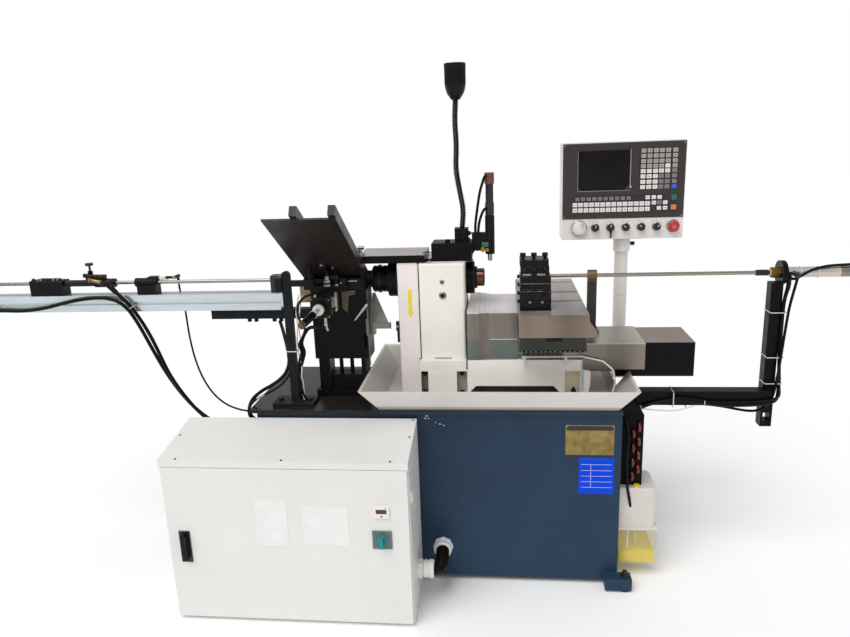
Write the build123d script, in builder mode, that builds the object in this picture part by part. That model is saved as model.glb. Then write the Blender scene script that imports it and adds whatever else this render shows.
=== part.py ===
from build123d import *
import os
from math import atan2, cos, pi, radians, sin, tan

# CNC turning lathe with a magazine feed on its left, a stop cylinder on its right, an electric
# cabinet in front and a swivelling control pendant behind. Millimetres; X runs along the spindle
# to the right, Y to the back and Z up. The origin is on the floor under the spindle axis.

os.makedirs("parts", exist_ok=True)

# Clearances
gap = 0.3
fit = 0.05

# Base and deck
base_x0 = -590
base_x1 = 611
base_y0 = -254
base_y1 = 193
base_z0 = 20
base_height = 595
base_wall = 8
deck_thickness = 12
deck_overhang = 21
deck_lip = 8
base_z1 = base_z0 + base_height
deck_z = base_z1 + deck_thickness

# Levelling feet
lug_length = 87
lug_depth = 45
lug_z0 = 8
lug_height = 40
lug_overhang = 41
foot_inset_y = 54
pad_radius = 20
stud_radius = 8
stud_top = 68

# Chip pan
pan_x0 = -171
pan_x1 = 597
pan_y0 = -254
pan_y1 = 193
pan_height = 78
pan_flare_x = 60
pan_flare_front = 43
pan_flare_back = 57
pan_sheet = 3
pan_cut_y = -90
pan_low_lip = 25
pan_floor_z = deck_z + pan_sheet

# Spindle line
spindle_z = 1017
spindle_radius = 35
spindle_bore = 15
nose_flange_radius = 56
nose_flange_length = 27
nose_radius = 31
nose_length = 35
nose_chamfer = 4

# Bed casting
bed_x0 = -44
bed_x1 = 501
bed_toe = 20
bed_y = 150
bed_seat_height = 101
bed_way_height = 134
head_flange_x1 = 118
arch_x0 = 126
arch_x1 = 419
arch_height = 43
arch_radius = 18
pocket_depth = 28
pocket_margin = 3
way_y = 100
way_width = 20
way_height = 18
way_x0 = 125
way_x1 = 498
bed_seat_z = pan_floor_z + bed_seat_height
bed_way_z = pan_floor_z + bed_way_height

# Feed drive beam and its cover
beam_y0 = -60
beam_y1 = 90
beam_z0 = 695
beam_z1 = 750
motor_cover_x0 = 612
motor_cover_length = 255
motor_cover_y0 = -84
motor_cover_y1 = 110
motor_cover_z0 = 685
motor_cover_height = 119
motor_cover_wall = 3
motor_plate_inset = 20
motor_plate_thickness = 12

# Headstock
head_x0 = -40
head_x1 = 112
head_y = 125
head_flange_height = 30
head_crown = 70
head_fillet = 8
head_wall = 22
head_cavity = 48
head_top = spindle_z + head_crown

# Belt drive
belt_cover_x0 = -112
belt_cover_x1 = -47
belt_cover_wall = 2
belt_cover_hole = 40
spindle_pulley_radius = 54
motor_pulley_radius = 42
pulley_flange = 8
pulley_x0 = -100
pulley_width = 42
pulley_rim = 4
belt_width = 30
belt_thickness = 6
motor_z = 460
motor_radius = 78
motor_x0 = -40
motor_length = 200
motor_shaft_radius = 12
belt_slot_side = 8
belt_slot_y = 74

# Rotary collet cylinder behind the spindle
adapter_radius = 62
adapter_x0 = -156
adapter_length = 32
rotor_radius = 46
rotor_length = 58
rotor_tail_radius = 30
rotor_tail_length = 27
rotor_groove = 3

# Guard, valve box, lamp and air nozzle on the headstock
guard_x0 = -250
guard_x1 = -22
guard_y0 = -100
guard_y1 = 80
guard_height = 26
guard_sheet = 3
box_x0 = 0
box_length = 135
box_y0 = -75
box_depth = 100
box_height = 60
box_base_height = 8
box_base_lip = 4
lamp_x = 100
lamp_y = -20
lamp_block = 46
lamp_block_height = 44
lamp_neck_radius = 8
lamp_head_radius = 34
nozzle_x = 195
nozzle_y = -30
nozzle_radius = 16
nozzle_z0 = 1103
nozzle_tip = 24
nozzle_rod_radius = 8
nozzle_stroke_room = 110
nozzle_arm_z = 1115
nozzle_arm_height = 60

# Feed rail on the left
rail_x0 = -1660
rail_x1 = -548
rail_size = 60
rail_top = 975
rail_groove = 10
rail_groove_depth = 7
rail_cap = 3
rail_port = 24
rail_port_y = -44
rail_port_z = 927
guide_length = 34
guide_height = 61
guide_width = 40
push_rod_radius = 6.5
push_rod_x0 = -1655
push_rod_x1 = -556
clamp_x0 = -1494
clamp_length = 128
clamp_width = 48
clamp_height = 56
barrel_radius = 12
barrel_end = -1248
barrel_head_radius = 16
barrel_head_length = 76
elbow_y = -45
elbow_rise = 6
elbow_reach = 20
elbow_radius = 9
valve_x = -1264
valve_length = 64
valve_width = 32
valve_z0 = 1026
valve_height = 20
bonnet_radius = 9
bonnet_height = 16
stem_radius = 4
stem_height = 20
knob_radius = 14
knob_height = 9
slider_x0 = -1092
slider_length = 82
slider_radius = 16
slider_foot = 72
slider_foot_width = 40
air_inlet_x = -950
air_tube_y = 14
air_inlet_y = 40
air_inlet_drop = 19
air_inlet_z = 1031
air_tube_radius = 5

# Magazine and pedestal
mag_x0 = -437
mag_width = 215
mag_low_y = -75
mag_low_z = 1030
mag_high_y = -475
mag_high_z = 1278
mag_sheet = 5
mag_bar_width = 21
mag_bar_height = 30
mag_bar_over = 16
mag_inner_bar = 84
ped_x0 = -407
ped_width = 191
ped_y0 = -130
ped_depth = 90
ped_leg_height = 114
ped_z1 = 1006
ped_wall = 8
ped_foot_height = 24
ped_leg_width = 38
ped_right_leg = 16
cheek_thickness = 10
trough_x0 = -475
trough_x1 = -262
trough_half = 25
trough_z0 = 940
trough_top = 1004
trough_v = 14
support_x0 = -813
support_size = 35
post_x = -469
post_y = -190
post_width = 28
post_thickness = 16
post_top = 1083
post_foot_length = 140
post_foot_width = 75
post_foot_height = 12
post_arm_z = 1032
post_arm_height = 20
post_arm_end = -380
gate_x = -347
gate_z = 970
gate_head = 66
gate_head_length = 21
gate_barrel_radius = 29
gate_barrel_length = 70
gate_rod_radius = 6
gate_boss_radius = 18
gate_boss_length = 33
gate_ring_y = -325
gate_stop_length = 135
gate_stop_radius = 13
gate_tip_y = -70
gate_tip_radius = 9
gate_travel = 40
chute_x = -144
chute_width = 71
chute_skew = 60
chute_low_y = -95
chute_low_z = 861
chute_rise = 112
chute_run = 62
chute_sheet = 2
chute_lip = 14
chute_front = 22

# Way covers
cover_y0 = -150
cover_y1 = 150
cover_top = 931
cover_sheet = 1.2
cover_step = 2
fixed_cover_length = 40
stage_1_x0 = 131
stage_1_length = 44
stage_2_x0 = 144
stage_2_length = 46
carriage_cover_x0 = 158
right_cover_end = 693
right_cover_y0 = -152
right_cover_y1 = 65
right_cover_top = 820
right_cover_skirt = 88
right_cover_lip = 12

# Saddle, cross table and tools
saddle_x0 = 283
saddle_x1 = 495
saddle_y0 = -250
saddle_y1 = 200
saddle_z0 = 820
saddle_height = 65
truck_x0 = 300
truck_length = 130
truck_width = 56
bracket_x0 = 523
bracket_width = 30
bracket_thickness = 24
bracket_ring = 19
bracket_foot_end = 560
bracket_foot_y = 45
bracket_foot_height = 12
table_x0 = 284
table_x1 = 494
table_y0 = -309
table_y1 = 262
table_height = 40
table_top = 956
table_slide_x0 = 330
table_slide_x1 = 450
table_guard = 2
table_flare = 30
table_flare_drop = 46
t_slot_width = 14
t_slot_depth = 9
t_slot_head = 24
t_slot_head_depth = 8
t_slot_ys = [-120, 20, 194]
block_x0 = 288
block_length = 96
block_y0 = -252
block_depth = 86
block_mid_z = 1064
clamp_step = 2
clamp_plate_z = 1094
block_top = 1115
tool_size = 20
tool_y0 = -262
tool_y1 = -112
tool_point = 16
tool_pitch = 34
tool_bolt_radius = 7
tool_bolt_head = 20

# Stop cylinder on the right
arm_y0 = -65
arm_size = 45
arm_drop = 41
arm_z0 = base_z1 - arm_drop
arm_height = 50
arm_end = 1128
mast_x0 = 1115
mast_width = 38
mast_y = 20
mast_foot = 94
mast_z0 = arm_z0 - mast_foot
mast_top = 985
flange_x0 = 1142
flange_length = 18
flange_radius = 40
neck_radius = 12
lock_nut_length = 25
lock_nut_radius = 19
barrel_out_radius = 17.5
barrel_out_end = 1400
stop_rod_radius = 6.5
stop_rod_x0 = 285
stop_coupling_x0 = 1069
stop_coupling_length = 38
stop_coupling_radius = 10
stop_inner_radius = 6
arm_port_x = 1182
arm_port_y = -38
arm_port_z = 1006

# Pendant
column_x = 672
column_y = 240
column_radius = 24
column_z0 = 600
column_top = 1092
column_plate = 15
column_plate_x0 = 560
column_plate_x1 = 712
column_plate_y1 = 280
pendant_x0 = 450
pendant_width = 425
pendant_y0 = 187
pendant_depth = 100
pendant_z0 = 1112
pendant_height = 341
pendant_wall = 3
pendant_fillet = 5
collar_radius = 30
collar_height = 50
panel_x0 = 453
panel_width = 419
panel_z0 = 1187
panel_height = 262
panel_sheet = 2
panel_row_z = 1155
selector_x0 = 568.5
selector_pitch = 53.5
selector_radius = 13
selector_height = 16
selector_count = 5
dial_x = 511
dial_radius = 28
dial_height = 14
estop_x = 840
estop_radius = 19
estop_height = 16
estop_travel = 6
shaft_radius = 4

# Electric cabinet
cab_x0 = -822
cab_width = 775
cab_y0 = -511
cab_back = -262
cab_front_height = 560
cab_back_height = 600
cab_sheet = 3
cab_lid_lip = 22
door_margin_x = 4
door_z0 = 12
door_z1 = 536
door_depth = 16
door_sheet = 2
frame_margin = 22
handle_x = -764
handle_z = 305
handle_length = 92
handle_width = 20
handle_depth = 14
switch_x = -135
switch_z = 308
switch_plate = 60
switch_radius = 18
counter_x = -133
counter_z = 401
counter_width = 46
counter_height = 38
panel_plate_y = -300
drive_count = 3
drive_width = 110
drive_height = 220
drive_depth = 95
cab_gland_y = -388
cab_gland_z = 130
base_gland_x = 26
base_gland_z = 132
gland_radius = 25
gland_length = 32
conduit_radius = 14

# Cooler and lubricator on the base's right face
cooler_y0 = -190
cooler_y1 = -70
cooler_depth = 80
cooler_z0 = 339
cooler_z1 = 612
cooler_chamfer = 24
cooler_fins = 16
cooler_tube_radius = 5
lube_y0 = -215
lube_y1 = -75
lube_depth = 127
lube_z0 = 185
lube_z1 = 337
tank_depth = 134
tank_z0 = 55
tank_wall = 3
tank_draft = 6

# Hoses
feed_hose_radius = 6.5
rail_hose_radius = 3.5
arm_hose_radius = 4.5
hose_gland_radius = 13
hose_gland_length = 24


def block(x0, x1, y0, y1, z0, z1, mode=Mode.ADD):
    """A box between two corners."""
    with Locations(((x0 + x1) / 2, (y0 + y1) / 2, (z0 + z1) / 2)):
        Box(x1 - x0, y1 - y0, z1 - z0, mode=mode)


def rod_x(x0, x1, y, z, radius, mode=Mode.ADD):
    """A round bar along X."""
    with Locations(Location(((x0 + x1) / 2, y, z), (0, 90, 0))):
        Cylinder(radius, x1 - x0, mode=mode)


def rod_y(y0, y1, x, z, radius, mode=Mode.ADD):
    """A round bar along Y."""
    with Locations(Location((x, (y0 + y1) / 2, z), (90, 0, 0))):
        Cylinder(radius, y1 - y0, mode=mode)


def rod_z(z0, z1, x, y, radius, mode=Mode.ADD):
    """A round bar along Z."""
    with Locations((x, y, (z0 + z1) / 2)):
        Cylinder(radius, z1 - z0, mode=mode)


def save(piece, name):
    """Labels a finished piece and writes its STEP file."""
    piece.part.label = name
    export_step(piece.part, f"parts/{name}.step")


def turned(profile, axis_z=spindle_z):
    """Revolves (x, radius) points about a line along X at height axis_z."""
    with BuildSketch(Plane.XZ) as half_section:
        with BuildLine():
            Polyline(*[(x, axis_z + r) for x, r in profile], close=True)
        make_face()
    revolve(half_section.sketch, axis=Axis((0, 0, axis_z), (1, 0, 0)))


def channel(x0, x1, step, bottom):
    """An inverted sheet channel over the ways, one step inside the fixed cover for each stage."""
    inset = step * cover_step
    with BuildSketch(Plane.YZ.offset(x0)) as section:
        with BuildLine():
            Polyline(
                (cover_y0 + inset, bottom),
                (cover_y0 + inset, cover_top - inset),
                (cover_y1 - inset, cover_top - inset),
                (cover_y1 - inset, bottom),
                (cover_y1 - inset - cover_sheet, bottom),
                (cover_y1 - inset - cover_sheet, cover_top - inset - cover_sheet),
                (cover_y0 + inset + cover_sheet, cover_top - inset - cover_sheet),
                (cover_y0 + inset + cover_sheet, bottom),
                close=True,
            )
        make_face()
    extrude(section.sketch, amount=x1 - x0)


def bend_radii(points):
    """The arc radius at each inner point of a hose route, as large as its two runs allow."""
    vectors = [Vector(*p) for p in points]
    radii = []
    for before, here, after in zip(vectors, vectors[1:], vectors[2:]):
        turn = radians((here - before).get_angle(after - here))
        shorter = min((here - before).length, (after - here).length)
        radii.append(0.45 * shorter / tan(turn / 2))
    return radii


def hose(name, points, radius):
    """A hose as straight runs joined by tangent arcs."""
    radii = bend_radii(points)
    with BuildPart() as tube:
        with BuildLine() as route:
            FilletPolyline(*points, radius=radii)
        path = route.wires()[0]
        with BuildSketch(Plane(origin=path @ 0, z_dir=path % 0)):
            Circle(radius)
        sweep(path=path)
    expected = pi * radius**2 * path.length
    print(name, "length", round(path.length), "smallest bend", round(min(radii)),
          "volume ratio", round(tube.part.volume / expected, 4))
    save(tube, name)


# Base: a welded box, open underneath, with its deck plate and four feet
lug_boxes = [
    (base_x1 + lug_overhang - lug_length, base_x1 + lug_overhang, base_y0 - lug_depth, base_y0),
    (base_x1 + lug_overhang - lug_length, base_x1 + lug_overhang, base_y1, base_y1 + lug_depth),
    (base_x0 - lug_depth, base_x0, base_y0 + foot_inset_y - lug_depth, base_y0 + foot_inset_y),
    (base_x0 - lug_depth, base_x0, base_y1 - foot_inset_y, base_y1 - foot_inset_y + lug_depth),
]
lug_front_x = base_x1 + lug_overhang / 2
foot_points = [
    (lug_front_x, base_y0 - lug_depth / 2),
    (lug_front_x, base_y1 + lug_depth / 2),
    (base_x0 - lug_depth / 2, base_y0 + foot_inset_y - lug_depth / 2),
    (base_x0 - lug_depth / 2, base_y1 - foot_inset_y + lug_depth / 2),
]
slot_x0 = pulley_x0 - belt_slot_side
slot_x1 = pulley_x0 + pulley_width + belt_slot_side

with BuildPart() as base_cabinet:
    block(base_x0, base_x1, base_y0, base_y1, base_z0, base_z1)
    fillet(base_cabinet.edges().filter_by(Axis.Z), radius=base_wall / 2)
    block(base_x0 + base_wall, base_x1 - base_wall, base_y0 + base_wall, base_y1 - base_wall,
          base_z0, base_z1, mode=Mode.SUBTRACT)
    block(base_x0 - deck_overhang, base_x1, base_y0 - deck_lip, base_y1 + deck_lip, base_z1, deck_z)
    block(slot_x0, slot_x1, -belt_slot_y, belt_slot_y, base_z1, deck_z, mode=Mode.SUBTRACT)
    for lug in lug_boxes:
        block(*lug, lug_z0, lug_z0 + lug_height)
    for x, y in foot_points:
        rod_z(lug_z0, lug_z0 + lug_height, x, y, stud_radius + gap, mode=Mode.SUBTRACT)
save(base_cabinet, "base_cabinet")

with BuildPart() as levelling_bolts:
    for x, y in foot_points:
        rod_z(0, lug_z0, x, y, pad_radius)
        rod_z(lug_z0, stud_top, x, y, stud_radius)
        with BuildSketch(Plane.XY.offset(lug_z0 + lug_height)):
            with Locations((x, y)):
                RegularPolygon(stud_radius * 1.75, 6)
        extrude(amount=stud_radius * 1.3)
save(levelling_bolts, "levelling_bolts")

# Chip pan: folded sheet with flared walls, cut low behind the drive beam
pan_mid_x = (pan_x0 + pan_x1) / 2
pan_mid_y = (pan_y0 + pan_y1) / 2
pan_length = pan_x1 - pan_x0
pan_depth = pan_y1 - pan_y0
rim_mid_y = pan_mid_y + (pan_flare_back - pan_flare_front) / 2
rim_depth = pan_depth + pan_flare_front + pan_flare_back

with BuildPart() as chip_pan:
    with BuildSketch(Plane.XY.offset(deck_z)):
        with Locations((pan_mid_x, pan_mid_y)):
            Rectangle(pan_length, pan_depth)
    with BuildSketch(Plane.XY.offset(deck_z + pan_height)):
        with Locations((pan_mid_x, rim_mid_y)):
            Rectangle(pan_length + 2 * pan_flare_x, rim_depth)
    loft()
    with BuildSketch(Plane.XY.offset(pan_floor_z)):
        with Locations((pan_mid_x, pan_mid_y)):
            Rectangle(pan_length - 2 * pan_sheet, pan_depth - 2 * pan_sheet)
    with BuildSketch(Plane.XY.offset(deck_z + pan_height)):
        with Locations((pan_mid_x, rim_mid_y)):
            Rectangle(pan_length + 2 * pan_flare_x - 2 * pan_sheet, rim_depth - 2 * pan_sheet)
    loft(mode=Mode.SUBTRACT)
    block(pan_x1 - pan_sheet - 1, pan_x1 + pan_flare_x + 1, pan_cut_y, pan_y1 + pan_flare_back + 1,
          deck_z + pan_low_lip, deck_z + pan_height + 1, mode=Mode.SUBTRACT)
    block(slot_x0, slot_x1, -belt_slot_y, belt_slot_y, deck_z, pan_floor_z, mode=Mode.SUBTRACT)
save(chip_pan, "chip_pan")

# Bed: one casting with an arch, bolt pockets, two ways and the feed drive beam
bed_outline = [
    (bed_x0, pan_floor_z),
    (bed_x0, bed_seat_z),
    (head_flange_x1, bed_seat_z),
    (head_flange_x1, bed_way_z),
    (bed_x1, bed_way_z),
    (bed_x1, beam_z0 + 35),
    (bed_x1 + bed_toe, beam_z0 + 29),
    (bed_x1 + bed_toe, beam_z0 - 15),
    (bed_x1 + bed_toe / 2, pan_floor_z),
]
pocket_x = [
    (bed_x0 + pocket_margin, bed_x0 + 27),
    (head_flange_x1 - 38, head_flange_x1 - pocket_margin),
    (bed_x1 - 63, bed_x1 - 14),
]
pipe_y = -bed_y - 10
pipe_route = [
    (saddle_x0 + 14, pipe_y, bed_way_z + 14),
    (490, pipe_y, bed_way_z + 15),
    (558, pipe_y, bed_way_z - 1),
    (592, pipe_y, bed_way_z - 31),
    (600, pipe_y, bed_way_z - 75),
    (588, pipe_y, pan_floor_z + 8),
]

with BuildPart() as bed_casting:
    with BuildSketch(Plane.XZ.offset(-bed_y)):
        with BuildLine():
            Polyline(*bed_outline, close=True)
        make_face()
    extrude(amount=2 * bed_y)
    with BuildSketch(Plane.XZ.offset(-bed_y)):
        with BuildLine():
            Polyline(
                (arch_x0, pan_floor_z),
                (arch_x0, pan_floor_z + arch_height - arch_radius),
                (arch_x0 + arch_radius, pan_floor_z + arch_height),
                (arch_x1 - arch_radius, pan_floor_z + arch_height),
                (arch_x1, pan_floor_z + arch_height - arch_radius),
                (arch_x1, pan_floor_z),
                close=True,
            )
        make_face()
    extrude(amount=2 * bed_y, mode=Mode.SUBTRACT)
    for x0, x1 in pocket_x:
        for side in (-1, 1):
            face_y = side * bed_y
            block(x0, x1, min(face_y, face_y - side * pocket_depth),
                  max(face_y, face_y - side * pocket_depth),
                  pan_floor_z + 12, bed_seat_z - 6, mode=Mode.SUBTRACT)
    for side in (-1, 1):
        block(way_x0, way_x1, side * way_y - way_width / 2, side * way_y + way_width / 2,
              bed_way_z, bed_way_z + way_height)
    block(bed_x1 - 1, motor_cover_x0 + motor_plate_inset, beam_y0, beam_y1, beam_z0, beam_z1)
    block(motor_cover_x0 + motor_plate_inset - motor_plate_thickness,
          motor_cover_x0 + motor_plate_inset,
          motor_cover_y0 + motor_cover_wall, motor_cover_y1 - motor_cover_wall,
          motor_cover_z0 + motor_cover_wall,
          motor_cover_z0 + motor_cover_height - motor_cover_wall)
    with BuildLine() as pipe_path:
        FilletPolyline(*pipe_route, radius=[30, 30, 30, 30])
    with BuildSketch(Plane(origin=pipe_path.line @ 0, z_dir=pipe_path.line % 0)):
        Circle(3)
    sweep(path=pipe_path.line)
    for x in (saddle_x0 + 22, bed_x1 - 61):
        block(x - 4, x + 4, pipe_y - 1, 1 - bed_y, bed_way_z - 16, bed_way_z + 13)
save(bed_casting, "bed_casting")

with BuildPart() as motor_cover:
    block(motor_cover_x0, motor_cover_x0 + motor_cover_length, motor_cover_y0, motor_cover_y1,
          motor_cover_z0, motor_cover_z0 + motor_cover_height)
    fillet(motor_cover.edges().group_by(Axis.Z)[-1], radius=2)
    block(motor_cover_x0, motor_cover_x0 + motor_cover_length - motor_cover_wall,
          motor_cover_y0 + motor_cover_wall, motor_cover_y1 - motor_cover_wall,
          motor_cover_z0 + motor_cover_wall,
          motor_cover_z0 + motor_cover_height - motor_cover_wall, mode=Mode.SUBTRACT)
save(motor_cover, "motor_cover")

# Headstock casting, bored for the spindle
with BuildPart() as headstock:
    block(head_x0, head_x1, -head_y, head_y, bed_seat_z + head_flange_height, head_top)
    fillet(headstock.edges().filter_by(Axis.Z), radius=head_fillet)
    fillet(headstock.edges().group_by(Axis.Z)[-1], radius=head_fillet / 2)
    block(bed_x0, head_flange_x1, -bed_y, bed_y, bed_seat_z, bed_seat_z + head_flange_height)
    rod_x(head_x0, head_x1, 0, spindle_z, spindle_radius + fit, mode=Mode.SUBTRACT)
    rod_x(head_x0 + head_wall, head_x1 - head_wall, 0, spindle_z, head_cavity, mode=Mode.SUBTRACT)
save(headstock, "headstock")

with BuildPart() as belt_cover:
    block(belt_cover_x0, belt_cover_x1, -head_y, head_y, pan_floor_z, head_top)
    fillet(belt_cover.edges().group_by(Axis.X)[0].filter_by(Axis.Z), radius=6)
    block(belt_cover_x0 + belt_cover_wall, belt_cover_x1, belt_cover_wall - head_y,
          head_y - belt_cover_wall, pan_floor_z, head_top - belt_cover_wall, mode=Mode.SUBTRACT)
    rod_x(belt_cover_x0, belt_cover_x0 + belt_cover_wall, 0, spindle_z, belt_cover_hole,
          mode=Mode.SUBTRACT)
save(belt_cover, "belt_cover")

# Spindle: shaft, grooved pulley, flange and collet nose in one revolved piece
shaft_x0 = adapter_x0
nose_x0 = head_x1 + gap + 0.7
nose_x1 = nose_x0 + nose_flange_length + nose_length
pulley_x1 = pulley_x0 + pulley_width

with BuildPart() as spindle:
    turned([
        (shaft_x0, spindle_bore),
        (shaft_x0, spindle_radius),
        (pulley_x0, spindle_radius),
        (pulley_x0, spindle_pulley_radius + pulley_flange),
        (pulley_x0 + pulley_rim, spindle_pulley_radius + pulley_flange),
        (pulley_x0 + pulley_rim, spindle_pulley_radius),
        (pulley_x1 - pulley_rim, spindle_pulley_radius),
        (pulley_x1 - pulley_rim, spindle_pulley_radius + pulley_flange),
        (pulley_x1, spindle_pulley_radius + pulley_flange),
        (pulley_x1, spindle_radius),
        (nose_x0, spindle_radius),
        (nose_x0, nose_flange_radius),
        (nose_x0 + nose_flange_length, nose_flange_radius),
        (nose_x0 + nose_flange_length, nose_radius + 7),
        (nose_x0 + nose_flange_length + 9, nose_radius + 7),
        (nose_x0 + nose_flange_length + 9, nose_radius),
        (nose_x1 - nose_chamfer, nose_radius),
        (nose_x1, nose_radius - nose_chamfer),
        (nose_x1, spindle_bore),
    ])
    with Locations(Location((nose_x0 + nose_flange_length - 4, 0, spindle_z), (0, 90, 0))):
        with PolarLocations(nose_flange_radius - 9, 6):
            Cylinder(4, 8, mode=Mode.SUBTRACT)
save(spindle, "spindle")

rotor_x1 = adapter_x0
rotor_x0 = rotor_x1 - rotor_length
with BuildPart() as rotary_cylinder:
    turned([
        (rotor_x0 - rotor_tail_length, spindle_bore + 1),
        (rotor_x0 - rotor_tail_length, rotor_tail_radius),
        (rotor_x0, rotor_tail_radius),
        (rotor_x0, rotor_radius - 4),
        (rotor_x0 + 4, rotor_radius),
        (rotor_x0 + 14, rotor_radius),
        (rotor_x0 + 14, rotor_radius - rotor_groove),
        (rotor_x0 + 20, rotor_radius - rotor_groove),
        (rotor_x0 + 20, rotor_radius + 3),
        (rotor_x0 + 30, rotor_radius + 3),
        (rotor_x0 + 30, rotor_radius - rotor_groove),
        (rotor_x0 + 36, rotor_radius - rotor_groove),
        (rotor_x0 + 36, rotor_radius),
        (rotor_x1, rotor_radius),
        (rotor_x1, adapter_radius),
        (rotor_x1 + adapter_length, adapter_radius),
        (rotor_x1 + adapter_length, spindle_radius),
        (rotor_x1, spindle_radius),
        (rotor_x1, spindle_bore + 1),
    ])
save(rotary_cylinder, "rotary_cylinder")

# Belt drive: the motor hangs under the deck inside the base
with BuildPart() as spindle_motor:
    rod_x(motor_x0, motor_x0 + motor_length, 0, motor_z, motor_radius)
    fillet(spindle_motor.edges().filter_by(GeomType.CIRCLE), radius=6)
    block(motor_x0 + 30, motor_x0 + motor_length - 30, -50, 50, motor_z + motor_radius - 14,
          base_z1 - 10)
    block(motor_x0 + 10, motor_x0 + motor_length - 10, -90, 90, base_z1 - 10, base_z1)
    rod_x(motor_x0, motor_x0 + 30, 0, motor_z, motor_shaft_radius + fit, mode=Mode.SUBTRACT)
save(spindle_motor, "spindle_motor")

with BuildPart() as motor_pulley:
    turned([
        (pulley_x0, 0),
        (pulley_x0, motor_pulley_radius + pulley_flange),
        (pulley_x0 + pulley_rim, motor_pulley_radius + pulley_flange),
        (pulley_x0 + pulley_rim, motor_pulley_radius),
        (pulley_x1 - pulley_rim, motor_pulley_radius),
        (pulley_x1 - pulley_rim, motor_pulley_radius + pulley_flange),
        (pulley_x1, motor_pulley_radius + pulley_flange),
        (pulley_x1, motor_shaft_radius),
        (motor_x0 + 30 - gap, motor_shaft_radius),
        (motor_x0 + 30 - gap, 0),
    ], motor_z)
save(motor_pulley, "motor_pulley")

belt_mid_x = pulley_x0 + pulley_width / 2
with BuildPart() as drive_belt:
    for grow, mode in ((gap + belt_thickness, Mode.ADD), (gap, Mode.SUBTRACT)):
        with BuildSketch(Plane.YZ.offset(belt_mid_x - belt_width / 2)):
            with Locations((0, spindle_z)):
                Circle(spindle_pulley_radius + grow)
            with Locations((0, motor_z)):
                Circle(motor_pulley_radius + grow)
            make_hull()
        extrude(amount=belt_width, mode=mode)
save(drive_belt, "drive_belt")

# Guard over the rotary cylinder: a folded tray upside down
with BuildPart() as cylinder_guard:
    block(guard_x0, guard_x1, guard_y0, guard_y1, head_top, head_top + guard_height)
    fillet(cylinder_guard.edges().group_by(Axis.Z)[-1], radius=2)
    block(guard_x0 + guard_sheet, guard_x1 - guard_sheet, guard_y0 + guard_sheet,
          guard_y1 - guard_sheet, head_top, head_top + guard_height - guard_sheet,
          mode=Mode.SUBTRACT)
save(cylinder_guard, "cylinder_guard")

box_z1 = head_top + box_height
with BuildPart() as valve_box:
    block(box_x0, box_x0 + box_length, box_y0, box_y0 + box_depth, head_top, box_z1)
    fillet(valve_box.edges().group_by(Axis.Z)[-1], radius=3)
    block(box_x0 - box_base_lip, box_x0 + box_length, box_y0 - box_base_lip,
          box_y0 + box_depth + box_base_lip, head_top, head_top + box_base_height)
    rod_z(box_z1 - 1, box_z1 + 8, box_x0 + 54, box_y0 + 24, 9)
save(valve_box, "valve_box")

# Work lamp: clamp block, gooseneck and ribbed head
neck_route = [
    (lamp_x + 2, lamp_y, box_z1 + lamp_block_height - 4),
    (lamp_x + 7, lamp_y, 1250),
    (lamp_x - 4, lamp_y, 1318),
    (lamp_x - 14, lamp_y, 1384),
    (lamp_x - 11, lamp_y, 1462),
    (lamp_x - 14, lamp_y, 1540),
    (lamp_x - 10, lamp_y, 1612),
]
with BuildPart() as work_lamp:
    block(lamp_x - lamp_block / 2, lamp_x + lamp_block / 2, lamp_y - lamp_block / 2,
          lamp_y + lamp_block / 2, box_z1, box_z1 + lamp_block_height)
    fillet(work_lamp.edges().filter_by(Axis.Z), radius=4)
    with BuildLine() as neck_path:
        FilletPolyline(*neck_route, radius=bend_radii(neck_route))
    with BuildSketch(Plane(origin=neck_path.line @ 0, z_dir=neck_path.line % 0)):
        Circle(lamp_neck_radius)
    sweep(path=neck_path.line)
    head_x, head_y_lamp, head_z = neck_route[-1]
    with BuildSketch(Plane.XZ.offset(-head_y_lamp)):
        with BuildLine():
            Polyline(
                (head_x, head_z - 8),
                (head_x + 14, head_z - 8),
                (head_x + 22, head_z + 4),
                (head_x + 24, head_z + 22),
                (head_x + lamp_head_radius - 3, head_z + 50),
                (head_x + lamp_head_radius - 3, head_z + 58),
                (head_x + lamp_head_radius, head_z + 60),
                (head_x + lamp_head_radius, head_z + 94),
                (head_x + lamp_head_radius - 5, head_z + 104),
                (head_x + lamp_head_radius - 8, head_z + 104),
                (head_x + lamp_head_radius - 8, head_z + 84),
                (head_x, head_z + 78),
                close=True,
            )
        make_face()
    revolve(axis=Axis((head_x, head_y_lamp, 0), (0, 0, 1)))
save(work_lamp, "work_lamp")

# Air cylinder over the spindle nose, on an arm from the valve box
with BuildPart() as nozzle_cylinder:
    rod_z(nozzle_z0, nozzle_z0 + 129, nozzle_x, nozzle_y, nozzle_radius)
    rod_z(nozzle_z0 + 129, nozzle_z0 + 133, nozzle_x, nozzle_y, nozzle_radius - 3)
    rod_z(nozzle_z0 + 133, nozzle_z0 + 170, nozzle_x, nozzle_y, nozzle_radius - 1)
    rod_z(nozzle_z0 + 170, nozzle_z0 + 232, nozzle_x, nozzle_y, nozzle_radius - 3)
    rod_z(nozzle_z0 + 232, nozzle_z0 + 268, nozzle_x, nozzle_y, nozzle_radius)
    block(box_x0 + box_length, nozzle_x - nozzle_radius + 4, nozzle_y - 14, nozzle_y + 14,
          nozzle_arm_z, nozzle_arm_z + nozzle_arm_height)
    rod_z(nozzle_z0, nozzle_z0 + nozzle_stroke_room, nozzle_x, nozzle_y, nozzle_rod_radius + fit,
          mode=Mode.SUBTRACT)
save(nozzle_cylinder, "nozzle_cylinder")

with BuildPart() as nozzle_rod:
    rod_z(nozzle_z0 - nozzle_tip, nozzle_z0 + nozzle_stroke_room - 6, nozzle_x, nozzle_y,
          nozzle_rod_radius)
    chamfer(nozzle_rod.edges().group_by(Axis.Z)[0], length=3)
save(nozzle_rod, "nozzle_rod")

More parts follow.
